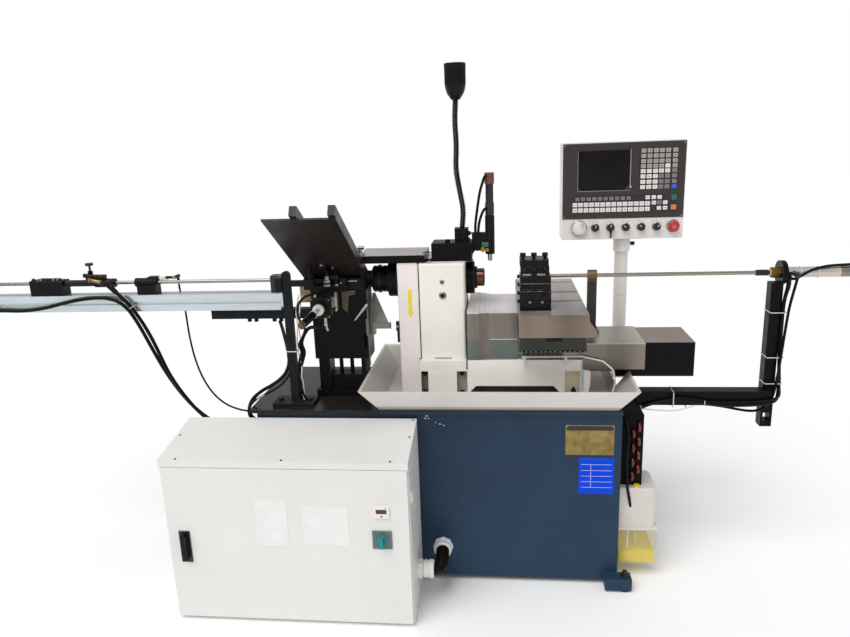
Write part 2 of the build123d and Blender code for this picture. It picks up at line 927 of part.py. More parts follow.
# Feed rail: grooved aluminium extrusion with an end cap and the push rod's guide block
rail_mid_z = rail_top - rail_size / 2
with BuildPart() as feed_rail:
    with BuildSketch(Plane.YZ.offset(rail_x0)):
        with Locations((0, rail_mid_z)):
            Rectangle(rail_size, rail_size)
            with Locations((rail_size / 2 - rail_groove_depth / 2, 0),
                           (rail_groove_depth / 2 - rail_size / 2, 0)):
                Rectangle(rail_groove_depth, rail_groove, mode=Mode.SUBTRACT)
            with Locations((0, rail_size / 2 - rail_groove_depth / 2),
                           (0, rail_groove_depth / 2 - rail_size / 2)):
                Rectangle(rail_groove, rail_groove_depth, mode=Mode.SUBTRACT)
    extrude(amount=rail_x1 - rail_x0)
    block(rail_x0 - rail_cap, rail_x0, -rail_size / 2, rail_size / 2, rail_top - rail_size,
          rail_top)
    block(rail_x0, rail_x0 + rail_port, rail_port_y - 10, -rail_size / 2,
          rail_port_z - 10, rail_port_z + 10)
    block(rail_x1 - guide_length, rail_x1, -guide_width / 2, guide_width / 2, rail_top,
          rail_top + guide_height)
    rod_x(rail_x1 - guide_length, rail_x1, 0, spindle_z, push_rod_radius + fit,
          mode=Mode.SUBTRACT)
save(feed_rail, "feed_rail")

# Feed cylinder: clamp block, barrel, head and the air valve on top
barrel_x1 = barrel_end + barrel_head_length
hose_a_x = barrel_x1 - 10
elbow_z = spindle_z + elbow_rise
with BuildPart() as feed_cylinder:
    block(clamp_x0, clamp_x0 + clamp_length, -clamp_width / 2, clamp_width / 2, rail_top,
          rail_top + clamp_height)
    chamfer(feed_cylinder.edges().group_by(Axis.Z)[-1].filter_by(Axis.X), length=3)
    rod_x(clamp_x0 + clamp_length, barrel_end, 0, spindle_z, barrel_radius)
    rod_x(barrel_end, barrel_x1, 0, spindle_z, barrel_head_radius)
    block(valve_x - 12, valve_x - 12 + valve_length, -valve_width / 2, valve_width / 2,
          spindle_z + barrel_radius - 3, valve_z0 + valve_height)
    rod_z(valve_z0 + valve_height, valve_z0 + valve_height + bonnet_height, valve_x, 0,
          bonnet_radius)
    rod_y(elbow_y - elbow_radius, 0, hose_a_x, elbow_z, elbow_radius)
    with Locations(Location((hose_a_x + elbow_reach / 2, elbow_y, elbow_z - elbow_reach / 2),
                            (0, 135, 0))):
        Cylinder(elbow_radius, elbow_reach * 2**0.5)
    rod_z(valve_z0 + 4, valve_z0 + valve_height + bonnet_height, valve_x, 0, stem_radius + fit,
          mode=Mode.SUBTRACT)
    rod_x(clamp_x0, barrel_x1, 0, spindle_z, push_rod_radius + fit, mode=Mode.SUBTRACT)
save(feed_cylinder, "feed_cylinder")

knob_z = valve_z0 + valve_height + bonnet_height + stem_height
with BuildPart() as valve_knob:
    rod_z(valve_z0 + 8, knob_z, valve_x, 0, stem_radius)
    rod_z(knob_z, knob_z + knob_height, valve_x, 0, knob_radius)
    with BuildSketch(Plane.XY.offset(knob_z)):
        with Locations((valve_x, 0)):
            with PolarLocations(knob_radius, 10):
                Circle(1.6)
    extrude(amount=knob_height, mode=Mode.SUBTRACT)
save(valve_knob, "valve_knob")

# Push rod with its slider and air inlet
with BuildPart() as push_rod:
    rod_x(push_rod_x0, push_rod_x1, 0, spindle_z, push_rod_radius)
    rod_x(slider_x0, slider_x0 + slider_length, 0, spindle_z, slider_radius)
    block(slider_x0 + slider_length - slider_foot, slider_x0 + slider_length,
          -slider_foot_width / 2, slider_foot_width / 2, rail_top + gap, spindle_z - 8)
    block(slider_x0 + slider_length - 34, slider_x0 + slider_length, -10, air_tube_y + 8,
          spindle_z - 4, air_inlet_z + 6)
    rod_x(slider_x0 + slider_length, air_inlet_x, air_tube_y, air_inlet_z, air_tube_radius)
    rod_y(air_tube_y - 8, air_inlet_y + 8, air_inlet_x, air_inlet_z, air_tube_radius + 1)
    rod_z(air_inlet_z - air_inlet_drop, air_inlet_z, air_inlet_x, air_inlet_y, air_tube_radius)
save(push_rod, "push_rod")

# Magazine: a sloping plate with two guide bars on its upper side
mag_slope = atan2(mag_high_z - mag_low_z, mag_low_y - mag_high_y)
mag_length = (mag_low_y - mag_high_y) / cos(mag_slope)
mag_plane = Plane(origin=(mag_x0, mag_low_y, mag_low_z), x_dir=(1, 0, 0),
                  z_dir=(0, sin(mag_slope), cos(mag_slope)))
mag_mid = mag_width / 2
with BuildPart() as magazine_plate:
    with BuildSketch(mag_plane):
        with Locations((mag_mid, -mag_length / 2)):
            Rectangle(mag_width, mag_length)
    extrude(amount=mag_sheet)
    with BuildSketch(mag_plane.offset(mag_sheet)):
        with Locations((mag_width - mag_bar_width / 2, -(mag_length + mag_bar_over) / 2),
                       (mag_inner_bar + mag_bar_width / 2, -(mag_length + mag_bar_over) / 2)):
            Rectangle(mag_bar_width, mag_length + mag_bar_over)
    extrude(amount=mag_bar_height)
save(magazine_plate, "magazine_plate")

# Pedestal: a welded box on legs that carries the magazine, the trough and the feed rail
ped_x1 = ped_x0 + ped_width
ped_y1 = ped_y0 + ped_depth
ped_foot_z = deck_z + ped_foot_height
ped_z0 = ped_foot_z + ped_leg_height
cheek_line = [
    (ped_y0, ped_z1),
    (mag_low_y, ped_z1),
    (mag_low_y, mag_low_z),
    (ped_y0, mag_low_z + (mag_low_y - ped_y0) * tan(mag_slope)),
]
trough_line = [
    (-trough_half, trough_z0),
    (-trough_half, trough_top),
    (-trough_v, trough_top),
    (0, trough_top - trough_v),
    (trough_v, trough_top),
    (trough_half, trough_top),
    (trough_half, trough_z0),
]
support_z1 = rail_top - rail_size
support_x1 = ped_x0 + ped_leg_width
with BuildPart() as pedestal:
    block(ped_x0, ped_x1, ped_y0, ped_y1, ped_z0, ped_z1)
    block(ped_x0 + ped_wall, ped_x1 - ped_wall, ped_y0 + ped_wall, ped_y1 - ped_wall,
          ped_z0 + ped_wall, ped_z1 - ped_wall, mode=Mode.SUBTRACT)
    block(ped_x0 - 4, ped_x1 - 30, ped_y0, ped_y1, deck_z, ped_foot_z)
    block(ped_x0 + 8, ped_x0 + 8 + ped_leg_width, ped_y0 + 10, ped_y1 - 10, ped_foot_z, ped_z0)
    block(ped_x1 - 34, ped_x1 - 34 + ped_right_leg, ped_y0 + 10, ped_y1 - 10, deck_z, ped_z0)
    block(ped_x0 + 8 + ped_leg_width, ped_x1 - 34, ped_y0 + 22, ped_y1 - 10, ped_foot_z,
          ped_foot_z + 50)
    for x in (ped_x0 + 80, ped_x0 + 118):
        rod_z(ped_foot_z + 50, ped_z0, x, ped_y0 + 40, 7)
    for x in (ped_x0 + 6, ped_x1 - 6 - cheek_thickness):
        with BuildSketch(Plane.YZ.offset(x)):
            with BuildLine():
                Polyline(*cheek_line, close=True)
            make_face()
        extrude(amount=cheek_thickness)
    with BuildSketch(Plane.YZ.offset(trough_x0)):
        with BuildLine():
            Polyline(*trough_line, close=True)
        make_face()
    extrude(amount=trough_x1 - trough_x0)
    block(ped_x0 + 30, ped_x1 - 60, ped_y1, -trough_half, trough_z0 - 20, trough_top - 14)
    block(support_x0, support_x1, -support_size / 2, support_size / 2,
          support_z1 - support_size, support_z1)
    block(ped_x0, support_x1, ped_y1, -support_size / 2, support_z1 - support_size - 8,
          support_z1)
    block(ped_x1 - 17, ped_x1 - 10, ped_y0, ped_y0 + ped_wall, ped_z0 + 40, ped_z0 + 86,
          mode=Mode.SUBTRACT)
    rod_y(ped_y0, ped_y0 + ped_wall, gate_x, gate_z, gate_rod_radius + 6, mode=Mode.SUBTRACT)
    rod_y(ped_y1 - ped_wall, gate_tip_y + gate_travel + 3, gate_x, gate_z, gate_tip_radius + 1,
          mode=Mode.SUBTRACT)
save(pedestal, "pedestal")

# Left post: a round-topped bar on a foot plate, with an arm that steadies the magazine
arm_y = post_y
arm_pin_x = post_arm_end - 10
arm_pin_z1 = mag_low_z + (mag_low_y - arm_y) * tan(mag_slope)
dark_cable_route = [
    (-556, -28, 872),
    (-532, -82, 862),
    (-506, -140, 840),
    (-488, -174, 806),
    (-486, -178, 762),
    (-506, -178, 720),
    (-546, -182, 690),
    (-590, -190, 668),
    (-622, -198, 642),
    (-636, -202, 608),
    (-630, -204, 582),
    (-612, -204, 568),
    (base_x0, -204, 568),
]
pale_cable_route = [
    (-474, -180, 826),
    (-472, -180, 776),
    (-486, -181, 726),
    (-516, -196, 690),
    (-560, -210, 668),
    (-606, -216, 646),
    (-632, -220, 614),
    (-628, -222, 586),
    (-612, -222, 572),
    (base_x0, -222, 572),
]
with BuildPart() as left_post:
    with BuildSketch(Plane.XZ.offset(-(post_y - post_thickness / 2))):
        with BuildLine():
            Line((post_x - post_width / 2, deck_z), (post_x + post_width / 2, deck_z))
            Line((post_x + post_width / 2, deck_z), (post_x + post_width / 2, post_top - post_width / 2))
            CenterArc((post_x, post_top - post_width / 2), post_width / 2, 0, 180)
            Line((post_x - post_width / 2, post_top - post_width / 2), (post_x - post_width / 2, deck_z))
        make_face()
    extrude(amount=-post_thickness)
    block(post_x - post_foot_length / 2, post_x + post_foot_length / 2, post_y - 43,
          post_y - 43 + post_foot_width, deck_z, deck_z + post_foot_height)
    with Locations((post_x - 50, post_y - 6, deck_z + post_foot_height + 4),
                   (post_x + 50, post_y - 6, deck_z + post_foot_height + 4)):
        Cylinder(9, 8)
    block(post_x, post_arm_end, post_y - 6, post_y + 6, post_arm_z, post_arm_z + post_arm_height)
    rod_z(post_arm_z, arm_pin_z1 - 6 * tan(mag_slope), arm_pin_x, arm_y, 5)
    block(post_x - 36, post_x - post_width / 2, post_y - 14, post_y + 14, post_arm_z - 18,
          post_arm_z + 30)
    for route, radius in ((dark_cable_route, 6), (pale_cable_route, 4)):
        with BuildLine() as cable_path:
            FilletPolyline(*route, radius=bend_radii(route))
        with BuildSketch(Plane(origin=cable_path.line @ 0, z_dir=cable_path.line % 0)):
            Circle(radius)
        sweep(path=cable_path.line)
save(left_post, "left_post")

# Gate cylinder on the pedestal's front, with an adjustable stop behind it
gate_front_y = ped_y0 - gate_head_length
gate_rear_y = gate_front_y - gate_barrel_length
gate_boss_y = gate_rear_y - gate_head_length
half_head = gate_head / 2
with BuildPart() as gate_cylinder:
    block(gate_x - half_head, gate_x + half_head, gate_front_y, ped_y0, gate_z - half_head,
          gate_z + half_head)
    block(gate_x - half_head, gate_x + half_head, gate_boss_y, gate_rear_y, gate_z - half_head,
          gate_z + half_head)
    fillet(gate_cylinder.edges().filter_by(Axis.Y), radius=6)
    rod_y(gate_rear_y, gate_front_y, gate_x, gate_z, gate_barrel_radius)
    rod_y(gate_boss_y - gate_boss_length, gate_boss_y, gate_x, gate_z, gate_boss_radius)
    for dx in (-24, 24):
        for dz in (-24, 24):
            rod_y(gate_boss_y - 6, gate_boss_y, gate_x + dx, gate_z + dz, 5)
    rod_y(gate_boss_y - gate_boss_length, ped_y0, gate_x, gate_z, gate_rod_radius + fit,
          mode=Mode.SUBTRACT)
save(gate_cylinder, "gate_cylinder")

with BuildPart() as gate_rod:
    rod_y(gate_ring_y - gate_stop_length, gate_tip_y, gate_x, gate_z, gate_rod_radius)
    rod_y(gate_tip_y - 10, gate_tip_y, gate_x, gate_z, gate_tip_radius)
    rod_y(gate_ring_y - 10, gate_ring_y, gate_x, gate_z, gate_stop_radius)
    rod_y(gate_ring_y - gate_stop_length, gate_ring_y - 14, gate_x, gate_z, gate_stop_radius - 1)
    rod_y(gate_ring_y - gate_stop_length - 6, gate_ring_y - gate_stop_length, gate_x, gate_z, 7)
save(gate_rod, "gate_rod")

# Discharge chute: a sheet tray that narrows upwards, folded up along its right edge and front
chute_slope = atan2(chute_rise, chute_run)
chute_length = chute_run / cos(chute_slope)
chute_plane = Plane(origin=(chute_x, chute_low_y, chute_low_z), x_dir=(1, 0, 0),
                    z_dir=(0, -sin(chute_slope), cos(chute_slope)))
chute_left = chute_x - chute_width
with BuildPart() as discharge_chute:
    with BuildSketch(chute_plane):
        with BuildLine():
            Polyline((0, 0), (-chute_skew, chute_length), (-chute_width, chute_length),
                     (-chute_width, 0), close=True)
        make_face()
    extrude(amount=chute_sheet)
    with BuildSketch(chute_plane):
        with BuildLine():
            Polyline((0, 0), (-chute_skew, chute_length),
                     (-chute_skew - chute_sheet, chute_length), (-chute_sheet, 0), close=True)
        make_face()
    extrude(amount=chute_lip)
    block(chute_left, chute_x, chute_low_y - chute_sheet, chute_low_y + chute_sheet,
          chute_low_z, chute_low_z + chute_front)
    block(ped_x1, chute_left + 16, chute_low_y - chute_sheet, chute_low_y + 18,
          chute_low_z - 20, chute_low_z + 6)
save(discharge_chute, "discharge_chute")

# Way covers: a fixed channel, two nested stages and the carriage's own
fixed_cover_x0 = head_flange_x1
with BuildPart() as fixed_way_cover:
    channel(fixed_cover_x0, fixed_cover_x0 + fixed_cover_length, 0, bed_way_z)
save(fixed_way_cover, "fixed_way_cover")

with BuildPart() as cover_stage_1:
    channel(stage_1_x0, stage_1_x0 + stage_1_length, 1, bed_way_z + 2)
save(cover_stage_1, "cover_stage_1")

with BuildPart() as cover_stage_2:
    channel(stage_2_x0, stage_2_x0 + stage_2_length, 2, bed_way_z + 2)
save(cover_stage_2, "cover_stage_2")

right_cover_line = [
    (right_cover_y0, right_cover_top - right_cover_skirt),
    (right_cover_y0, right_cover_top),
    (right_cover_y1, right_cover_top),
    (right_cover_y1, right_cover_top - right_cover_lip),
    (right_cover_y1 - cover_sheet, right_cover_top - right_cover_lip),
    (right_cover_y1 - cover_sheet, right_cover_top - cover_sheet),
    (right_cover_y0 + cover_sheet, right_cover_top - cover_sheet),
    (right_cover_y0 + cover_sheet, right_cover_top - right_cover_skirt),
]
with BuildPart() as carriage_covers:
    channel(carriage_cover_x0, saddle_x0, 3, bed_way_z + 2)
    with BuildSketch(Plane.YZ.offset(saddle_x1)):
        with BuildLine():
            Polyline(*right_cover_line, close=True)
        make_face()
    extrude(amount=right_cover_end - saddle_x1)
save(carriage_covers, "carriage_covers")

# Saddle: a cross casting on four trucks, with the rod bracket on its right
saddle_z1 = saddle_z0 + saddle_height
way_top = bed_way_z + way_height
bracket_x1 = bracket_x0 + bracket_width
with BuildPart() as saddle:
    block(saddle_x0, saddle_x1, saddle_y0, saddle_y1, saddle_z0, saddle_z1)
    for side in (-1, 1):
        y = side * way_y
        block(truck_x0, truck_x0 + truck_length, y - truck_width / 2, y + truck_width / 2,
              bed_way_z + gap + 0.7, saddle_z0)
        block(truck_x0, truck_x0 + truck_length, y - way_width / 2 - gap,
              y + way_width / 2 + gap, bed_way_z, way_top + gap, mode=Mode.SUBTRACT)
    block(saddle_x1, bracket_foot_end, -bracket_foot_y, bracket_foot_y, saddle_z0,
          saddle_z0 + bracket_foot_height)
    block(bracket_x0, bracket_x1, -bracket_thickness / 2, bracket_thickness / 2, saddle_z0,
          spindle_z)
    rod_x(bracket_x0, bracket_x1, 0, spindle_z, bracket_ring)
    rod_x(bracket_x0, bracket_x1, 0, spindle_z, stop_rod_radius + fit, mode=Mode.SUBTRACT)
save(saddle, "saddle")

# Cross table with T-slots and a flared front guard
guard_line_y = table_y0 - table_guard
with BuildPart() as cross_table:
    block(table_x0, table_x1, table_y0, table_y1, table_top - table_height, table_top)
    block(table_slide_x0, table_slide_x1, table_y0 + 19, table_y1 - 12, saddle_z1 + gap,
          table_top - table_height)
    for y in t_slot_ys:
        with BuildSketch(Plane.YZ.offset(table_x0)):
            with Locations((y, table_top - t_slot_depth / 2)):
                Rectangle(t_slot_width, t_slot_depth)
            with Locations((y, table_top - t_slot_depth - t_slot_head_depth / 2)):
                Rectangle(t_slot_head, t_slot_head_depth)
        extrude(amount=table_x1 - table_x0, mode=Mode.SUBTRACT)
    with BuildSketch(Plane.XZ.offset(-guard_line_y)):
        with BuildLine():
            Line((table_x0, saddle_z1 + gap), (table_x0, table_top))
            Line((table_x0, table_top), (table_x1, table_top))
            Line((table_x1, table_top), (table_x1, table_top - 12))
            Spline((table_x1, table_top - 12),
                   (table_x1 + table_flare / 2, table_top - 40),
                   (table_x1 + table_flare, saddle_z1 + gap + 6),
                   tangents=[(0, -1), (0.8, -1)])
            Line((table_x1 + table_flare, saddle_z1 + gap + 6),
                 (table_x1 + table_flare, saddle_z1 + gap))
            Line((table_x1 + table_flare, saddle_z1 + gap), (table_x0, saddle_z1 + gap))
        make_face()
    extrude(amount=-table_guard)
save(cross_table, "cross_table")

# Tool block: slotted base, clamp and top plate, drawn down by three bolts
tool_z1 = spindle_z
tool_z0 = tool_z1 - tool_size
block_x1 = block_x0 + block_length
block_y1 = block_y0 + block_depth
block_mid_x = (block_x0 + block_x1) / 2
tool_xs = [block_mid_x - tool_pitch, block_mid_x, block_mid_x + tool_pitch]
with BuildPart() as tool_block:
    block(block_x0, block_x1, block_y0, block_y1, table_top, tool_z1 + 6)
    block(block_x0 + 1, block_x1 - 1, block_y0 + 1, block_y1 - 1, tool_z1 + 6, block_mid_z)
    block(block_x0 + 3, block_x1 - 6, block_y0 + 4, block_y1 - 4, block_mid_z, clamp_plate_z)
    block(block_x0 + 1, block_x1 - 8, block_y0 + clamp_step, block_y1 - clamp_step,
          clamp_plate_z, block_top)
    for x in tool_xs:
        block(x - tool_size / 2, x + tool_size / 2, block_y0, block_y1, tool_z0, tool_z1,
              mode=Mode.SUBTRACT)
        rod_z(block_top, block_top + tool_bolt_head - 6, x - 3, block_y0 + block_depth / 2,
              tool_bolt_radius - 2)
        with BuildSketch(Plane.XY.offset(block_top + 4)):
            with Locations((x - 3, block_y0 + block_depth / 2)):
                RegularPolygon(tool_bolt_radius + 2, 6)
        extrude(amount=tool_bolt_head - 8)
save(tool_block, "tool_block")

with BuildPart() as turning_tools:
    for x in tool_xs:
        with BuildSketch(Plane.XY.offset(tool_z0)):
            with BuildLine():
                Polyline(
                    (x - tool_size / 2 + gap, tool_y0),
                    (x + tool_size / 2 - gap, tool_y0),
                    (x + tool_size / 2 - gap, tool_y1 - tool_point),
                    (x + 3, tool_y1),
                    (x - tool_size / 2 + gap, tool_y1 - tool_point),
                    close=True,
                )
            make_face()
        extrude(amount=tool_size - gap)
save(turning_tools, "turning_tools")

# Outrigger on the right: arm, mast and the stop cylinder's flange
with BuildPart() as outrigger:
    block(base_x1, arm_end, arm_y0, arm_y0 + arm_size, arm_z0, arm_z0 + arm_height)
    block(base_x1, base_x1 + 10, arm_y0, arm_y0 + arm_size + 40, arm_z0, base_z1)
    block(mast_x0, mast_x0 + mast_width, -mast_y, mast_y, mast_z0, mast_top)
    block(mast_x0 + 8, mast_x0 + mast_width - 8, -mast_y, mast_y, mast_z0 + 20, mast_z0 + 50,
          mode=Mode.SUBTRACT)
    rod_x(flange_x0, flange_x0 + flange_length, 0, spindle_z, flange_radius)
    fillet(outrigger.edges().filter_by(GeomType.CIRCLE).sort_by(Axis.X)[-1], radius=4)
    rod_x(flange_x0, flange_x0 + flange_length, 0, spindle_z, neck_radius, mode=Mode.SUBTRACT)
    rod_x(mast_x0, flange_x0, 0, spindle_z, lock_nut_radius + 4, mode=Mode.SUBTRACT)
save(outrigger, "outrigger")

lock_nut_x0 = flange_x0 - lock_nut_length
with BuildPart() as stop_cylinder:
    rod_x(flange_x0 + flange_length, barrel_out_end, 0, spindle_z, barrel_out_radius)
    fillet(stop_cylinder.edges().group_by(Axis.X)[-1], radius=4)
    rod_x(lock_nut_x0 - 6, flange_x0 + flange_length, 0, spindle_z, neck_radius)
    with BuildSketch(Plane.YZ.offset(lock_nut_x0)):
        with Locations((0, spindle_z)):
            RegularPolygon(lock_nut_radius, 6)
    extrude(amount=lock_nut_length)
    rod_y(arm_port_y - 20, 0, arm_port_x, spindle_z, 8)
    rod_z(arm_port_z, spindle_z, arm_port_x, arm_port_y - 12, 7)
    rod_x(lock_nut_x0 - 6, barrel_out_end - 10, 0, spindle_z, stop_inner_radius + fit,
          mode=Mode.SUBTRACT)
save(stop_cylinder, "stop_cylinder")

with BuildPart() as stop_rod:
    rod_x(stop_rod_x0, stop_coupling_x0, 0, spindle_z, stop_rod_radius)
    rod_x(stop_coupling_x0, stop_coupling_x0 + stop_coupling_length, 0, spindle_z,
          stop_coupling_radius)
    chamfer(stop_rod.edges().group_by(Axis.X)[0], length=1.5)
    rod_x(stop_coupling_x0 + stop_coupling_length, barrel_out_end - 20, 0, spindle_z,
          stop_inner_radius)
save(stop_rod, "stop_rod")

# Pendant column on a bracket behind the base
with BuildPart() as pendant_column:
    block(column_plate_x0, column_plate_x1, base_y1, column_plate_y1, column_z0 - column_plate,
          column_z0)
    block(column_plate_x0, base_x1, base_y1, base_y1 + 10, column_z0 - 90, column_z0)
    rod_z(column_z0, column_top, column_x, column_y, column_radius)
    rod_z(column_z0, column_z0 + 14, column_x, column_y, column_radius + 12)
save(pendant_column, "pendant_column")

pendant_z1 = pendant_z0 + pendant_height
pendant_back = pendant_y0 + pendant_depth
with BuildPart() as pendant_box:
    block(pendant_x0, pendant_x0 + pendant_width, pendant_y0, pendant_back, pendant_z0,
          pendant_z1)
    fillet(pendant_box.edges().filter_by(Axis.Y), radius=pendant_fillet)
    block(pendant_x0 + pendant_wall, pendant_x0 + pendant_width - pendant_wall,
          pendant_y0 + pendant_wall, pendant_back - pendant_wall, pendant_z0 + pendant_wall,
          pendant_z1 - pendant_wall, mode=Mode.SUBTRACT)
    rod_z(pendant_z0 - collar_height, pendant_z0 + pendant_wall, column_x, column_y,
          collar_radius)
    rod_z(pendant_z0 - collar_height, pendant_z0 - 12, column_x, column_y, column_radius + fit,
          mode=Mode.SUBTRACT)
    rod_z(pendant_z0 - 14, pendant_z0 + pendant_wall, column_x, column_y, column_radius - 12,
          mode=Mode.SUBTRACT)
    rod_x(column_x + collar_radius - 4, column_x + collar_radius + 16, column_y,
          pendant_z0 - 24, 7)
    block(panel_x0, panel_x0 + panel_width, pendant_y0 - panel_sheet, pendant_y0, panel_z0,
          panel_z0 + panel_height)
    selector_xs = [selector_x0 + i * selector_pitch for i in range(selector_count)]
    for x in selector_xs + [dial_x, estop_x]:
        rod_y(pendant_y0, pendant_y0 + pendant_wall, x, panel_row_z, shaft_radius + fit,
              mode=Mode.SUBTRACT)
save(pendant_box, "pendant_box")

# Controls along the pendant's lower edge; each turns or slides in its own hole
for number, x in enumerate(selector_xs, start=1):
    with BuildPart() as selector:
        rod_y(pendant_y0 - selector_height, pendant_y0 - gap, x, panel_row_z, selector_radius)
        block(x - 3, x + 3, pendant_y0 - selector_height - 4, pendant_y0 - selector_height,
              panel_row_z - selector_radius + 2, panel_row_z + selector_radius - 2)
        rod_y(pendant_y0 - gap, pendant_y0 + 12, x, panel_row_z, shaft_radius)
    save(selector, f"selector_knob_{number}")

with BuildPart() as handwheel:
    rod_y(pendant_y0 - dial_height, pendant_y0 - gap, dial_x, panel_row_z, dial_radius)
    chamfer(handwheel.edges().group_by(Axis.Y)[0], length=2)
    rod_y(pendant_y0 - dial_height - 12, pendant_y0 - dial_height,
          dial_x + dial_radius * 0.6 * sin(radians(40)),
          panel_row_z + dial_radius * 0.6 * cos(radians(40)), 5)
    rod_y(pendant_y0 - gap, pendant_y0 + 12, dial_x, panel_row_z, shaft_radius)
save(handwheel, "handwheel")

with BuildPart() as estop_button:
    rod_y(pendant_y0 - estop_travel - estop_height, pendant_y0 - estop_travel - gap, estop_x,
          panel_row_z, estop_radius)
    fillet(estop_button.edges().group_by(Axis.Y)[0], radius=5)
    rod_y(pendant_y0 - estop_travel - gap, pendant_y0 + 12, estop_x, panel_row_z, shaft_radius)
save(estop_button, "estop_button")

# Electric cabinet: a folded box with a sloping lid and a full door
cab_x1 = cab_x0 + cab_width
cab_frame_y = cab_y0 + door_depth
cab_outline = [
    (cab_frame_y, 0),
    (cab_frame_y, door_z1 + 2),
    (cab_y0, door_z1 + 2),
    (cab_y0, cab_front_height),
    (cab_back, cab_back_height),
    (cab_back, 0),
]
lid_slope = (cab_back_height - cab_front_height) / (cab_back - cab_y0)
lid_under = cab_front_height - cab_sheet + lid_slope * (cab_frame_y + cab_sheet - cab_y0)
cab_inner = [
    (cab_frame_y + cab_sheet, cab_sheet),
    (cab_frame_y + cab_sheet, lid_under),
    (cab_back - cab_sheet, cab_back_height - cab_sheet - lid_slope * cab_sheet),
    (cab_back - cab_sheet, cab_sheet),
]
with BuildPart() as cabinet_body:
    with BuildSketch(Plane.YZ.offset(cab_x0)):
        with BuildLine():
            Polyline(*cab_outline, close=True)
        make_face()
    extrude(amount=cab_width)
    with BuildSketch(Plane.YZ.offset(cab_x0 + cab_sheet)):
        with BuildLine():
            Polyline(*cab_inner, close=True)
        make_face()
    extrude(amount=cab_width - 2 * cab_sheet, mode=Mode.SUBTRACT)
    block(cab_x0 + frame_margin, cab_x1 - frame_margin, cab_frame_y, cab_frame_y + cab_sheet,
          frame_margin + 12, door_z1 - frame_margin, mode=Mode.SUBTRACT)
save(cabinet_body, "cabinet_body")

door_x0 = cab_x0 + door_margin_x
door_x1 = cab_x1 - door_margin_x
with BuildPart() as cabinet_door:
    block(door_x0, door_x1, cab_y0, cab_frame_y - gap, door_z0, door_z1)
    fillet(cabinet_door.edges().group_by(Axis.Y)[0], radius=2)
    block(door_x0 + door_sheet, door_x1 - door_sheet, cab_y0 + door_sheet, cab_frame_y - gap,
          door_z0 + door_sheet, door_z1 - door_sheet, mode=Mode.SUBTRACT)
    block(handle_x - 18, handle_x + 18, cab_y0 - 3, cab_y0, handle_z - handle_length,
          handle_z + 16)
    block(switch_x - switch_plate / 2, switch_x + switch_plate / 2, cab_y0 - 4, cab_y0,
          switch_z - switch_plate / 2, switch_z + switch_plate / 2)
    block(counter_x - counter_width / 2, counter_x + counter_width / 2, cab_y0 - 5, cab_y0,
          counter_z - counter_height / 2, counter_z + counter_height / 2)
    rod_y(cab_y0 - 3, cab_y0 + door_sheet, handle_x, handle_z, shaft_radius + fit,
          mode=Mode.SUBTRACT)
    rod_y(cab_y0 - 4, cab_y0 + door_sheet, switch_x, switch_z, shaft_radius + fit,
          mode=Mode.SUBTRACT)
save(cabinet_door, "cabinet_door")

handle_y = cab_y0 - 3 - gap
with BuildPart() as door_handle:
    with BuildSketch(Plane.XZ.offset(-handle_y)):
        with Locations((handle_x, handle_z - handle_length / 2 + handle_width / 2)):
            SlotOverall(handle_length, handle_width, rotation=90)
    extrude(amount=handle_depth)
    fillet(door_handle.edges().group_by(Axis.Y)[0], radius=3)
    rod_y(handle_y, cab_y0 + 10, handle_x, handle_z, shaft_radius)
save(door_handle, "door_handle")

switch_y = cab_y0 - 4 - gap
with BuildPart() as switch_knob:
    rod_y(switch_y - 6, switch_y, switch_x, switch_z, switch_radius)
    block(switch_x - 6, switch_x + 6, switch_y - 22, switch_y - 6, switch_z - switch_radius + 1,
          switch_z + switch_radius - 1)
    rod_y(switch_y, cab_y0 + 10, switch_x, switch_z, shaft_radius)
save(switch_knob, "switch_knob")

plate_x0 = cab_x0 + 50
plate_x1 = cab_x1 - 50
with BuildPart() as mounting_plate:
    block(plate_x0, plate_x1, panel_plate_y, panel_plate_y + 3, 60, 500)
    for x in (plate_x0 + 20, plate_x1 - 20):
        for z in (80, 480):
            rod_y(panel_plate_y + 3, cab_back - cab_sheet, x, z, 6)
    for i in range(drive_count):
        x = plate_x0 + 60 + i * (drive_width + 30)
        block(x, x + drive_width, panel_plate_y - drive_depth, panel_plate_y, 250,
              250 + drive_height)
    block(plate_x0 + 40, plate_x1 - 40, panel_plate_y - 12, panel_plate_y, 150, 185)
    for i in range(6):
        x = plate_x0 + 60 + i * 60
        block(x, x + 44, panel_plate_y - 75, panel_plate_y - 12, 125, 210)
save(mounting_plate, "mounting_plate")

# Cable glands and the ribbed elbow between the cabinet and the base
gland_x1 = cab_x1 + gland_length
base_gland_y = base_y0 - gland_length
elbow_bend = 26
hose_gland_spots = [(-58, 441), (-26, 433), (40, 497)]
with BuildPart() as cable_glands:
    for x0, x1, radius in ((cab_x1, cab_x1 + 9, gland_radius),
                           (cab_x1 + 9, gland_x1, gland_radius - 4)):
        rod_x(x0, x1, cab_gland_y, cab_gland_z, radius)
    for y0, y1, radius in ((base_y0 - 9, base_y0, gland_radius),
                           (base_gland_y, base_y0 - 9, gland_radius - 4)):
        rod_y(y0, y1, base_gland_x, base_gland_z, radius)
    for y, z in hose_gland_spots:
        rod_x(base_x0 - hose_gland_length, base_x0, y, z, hose_gland_radius)
    with BuildLine() as elbow_path:
        FilletPolyline((gland_x1, cab_gland_y, cab_gland_z),
                       (base_gland_x, cab_gland_y, base_gland_z),
                       (base_gland_x, base_gland_y, base_gland_z), radius=elbow_bend)
    with BuildSketch(Plane(origin=elbow_path.line @ 0, z_dir=elbow_path.line % 0)):
        Circle(conduit_radius)
    sweep(path=elbow_path.line)
save(cable_glands, "cable_glands")

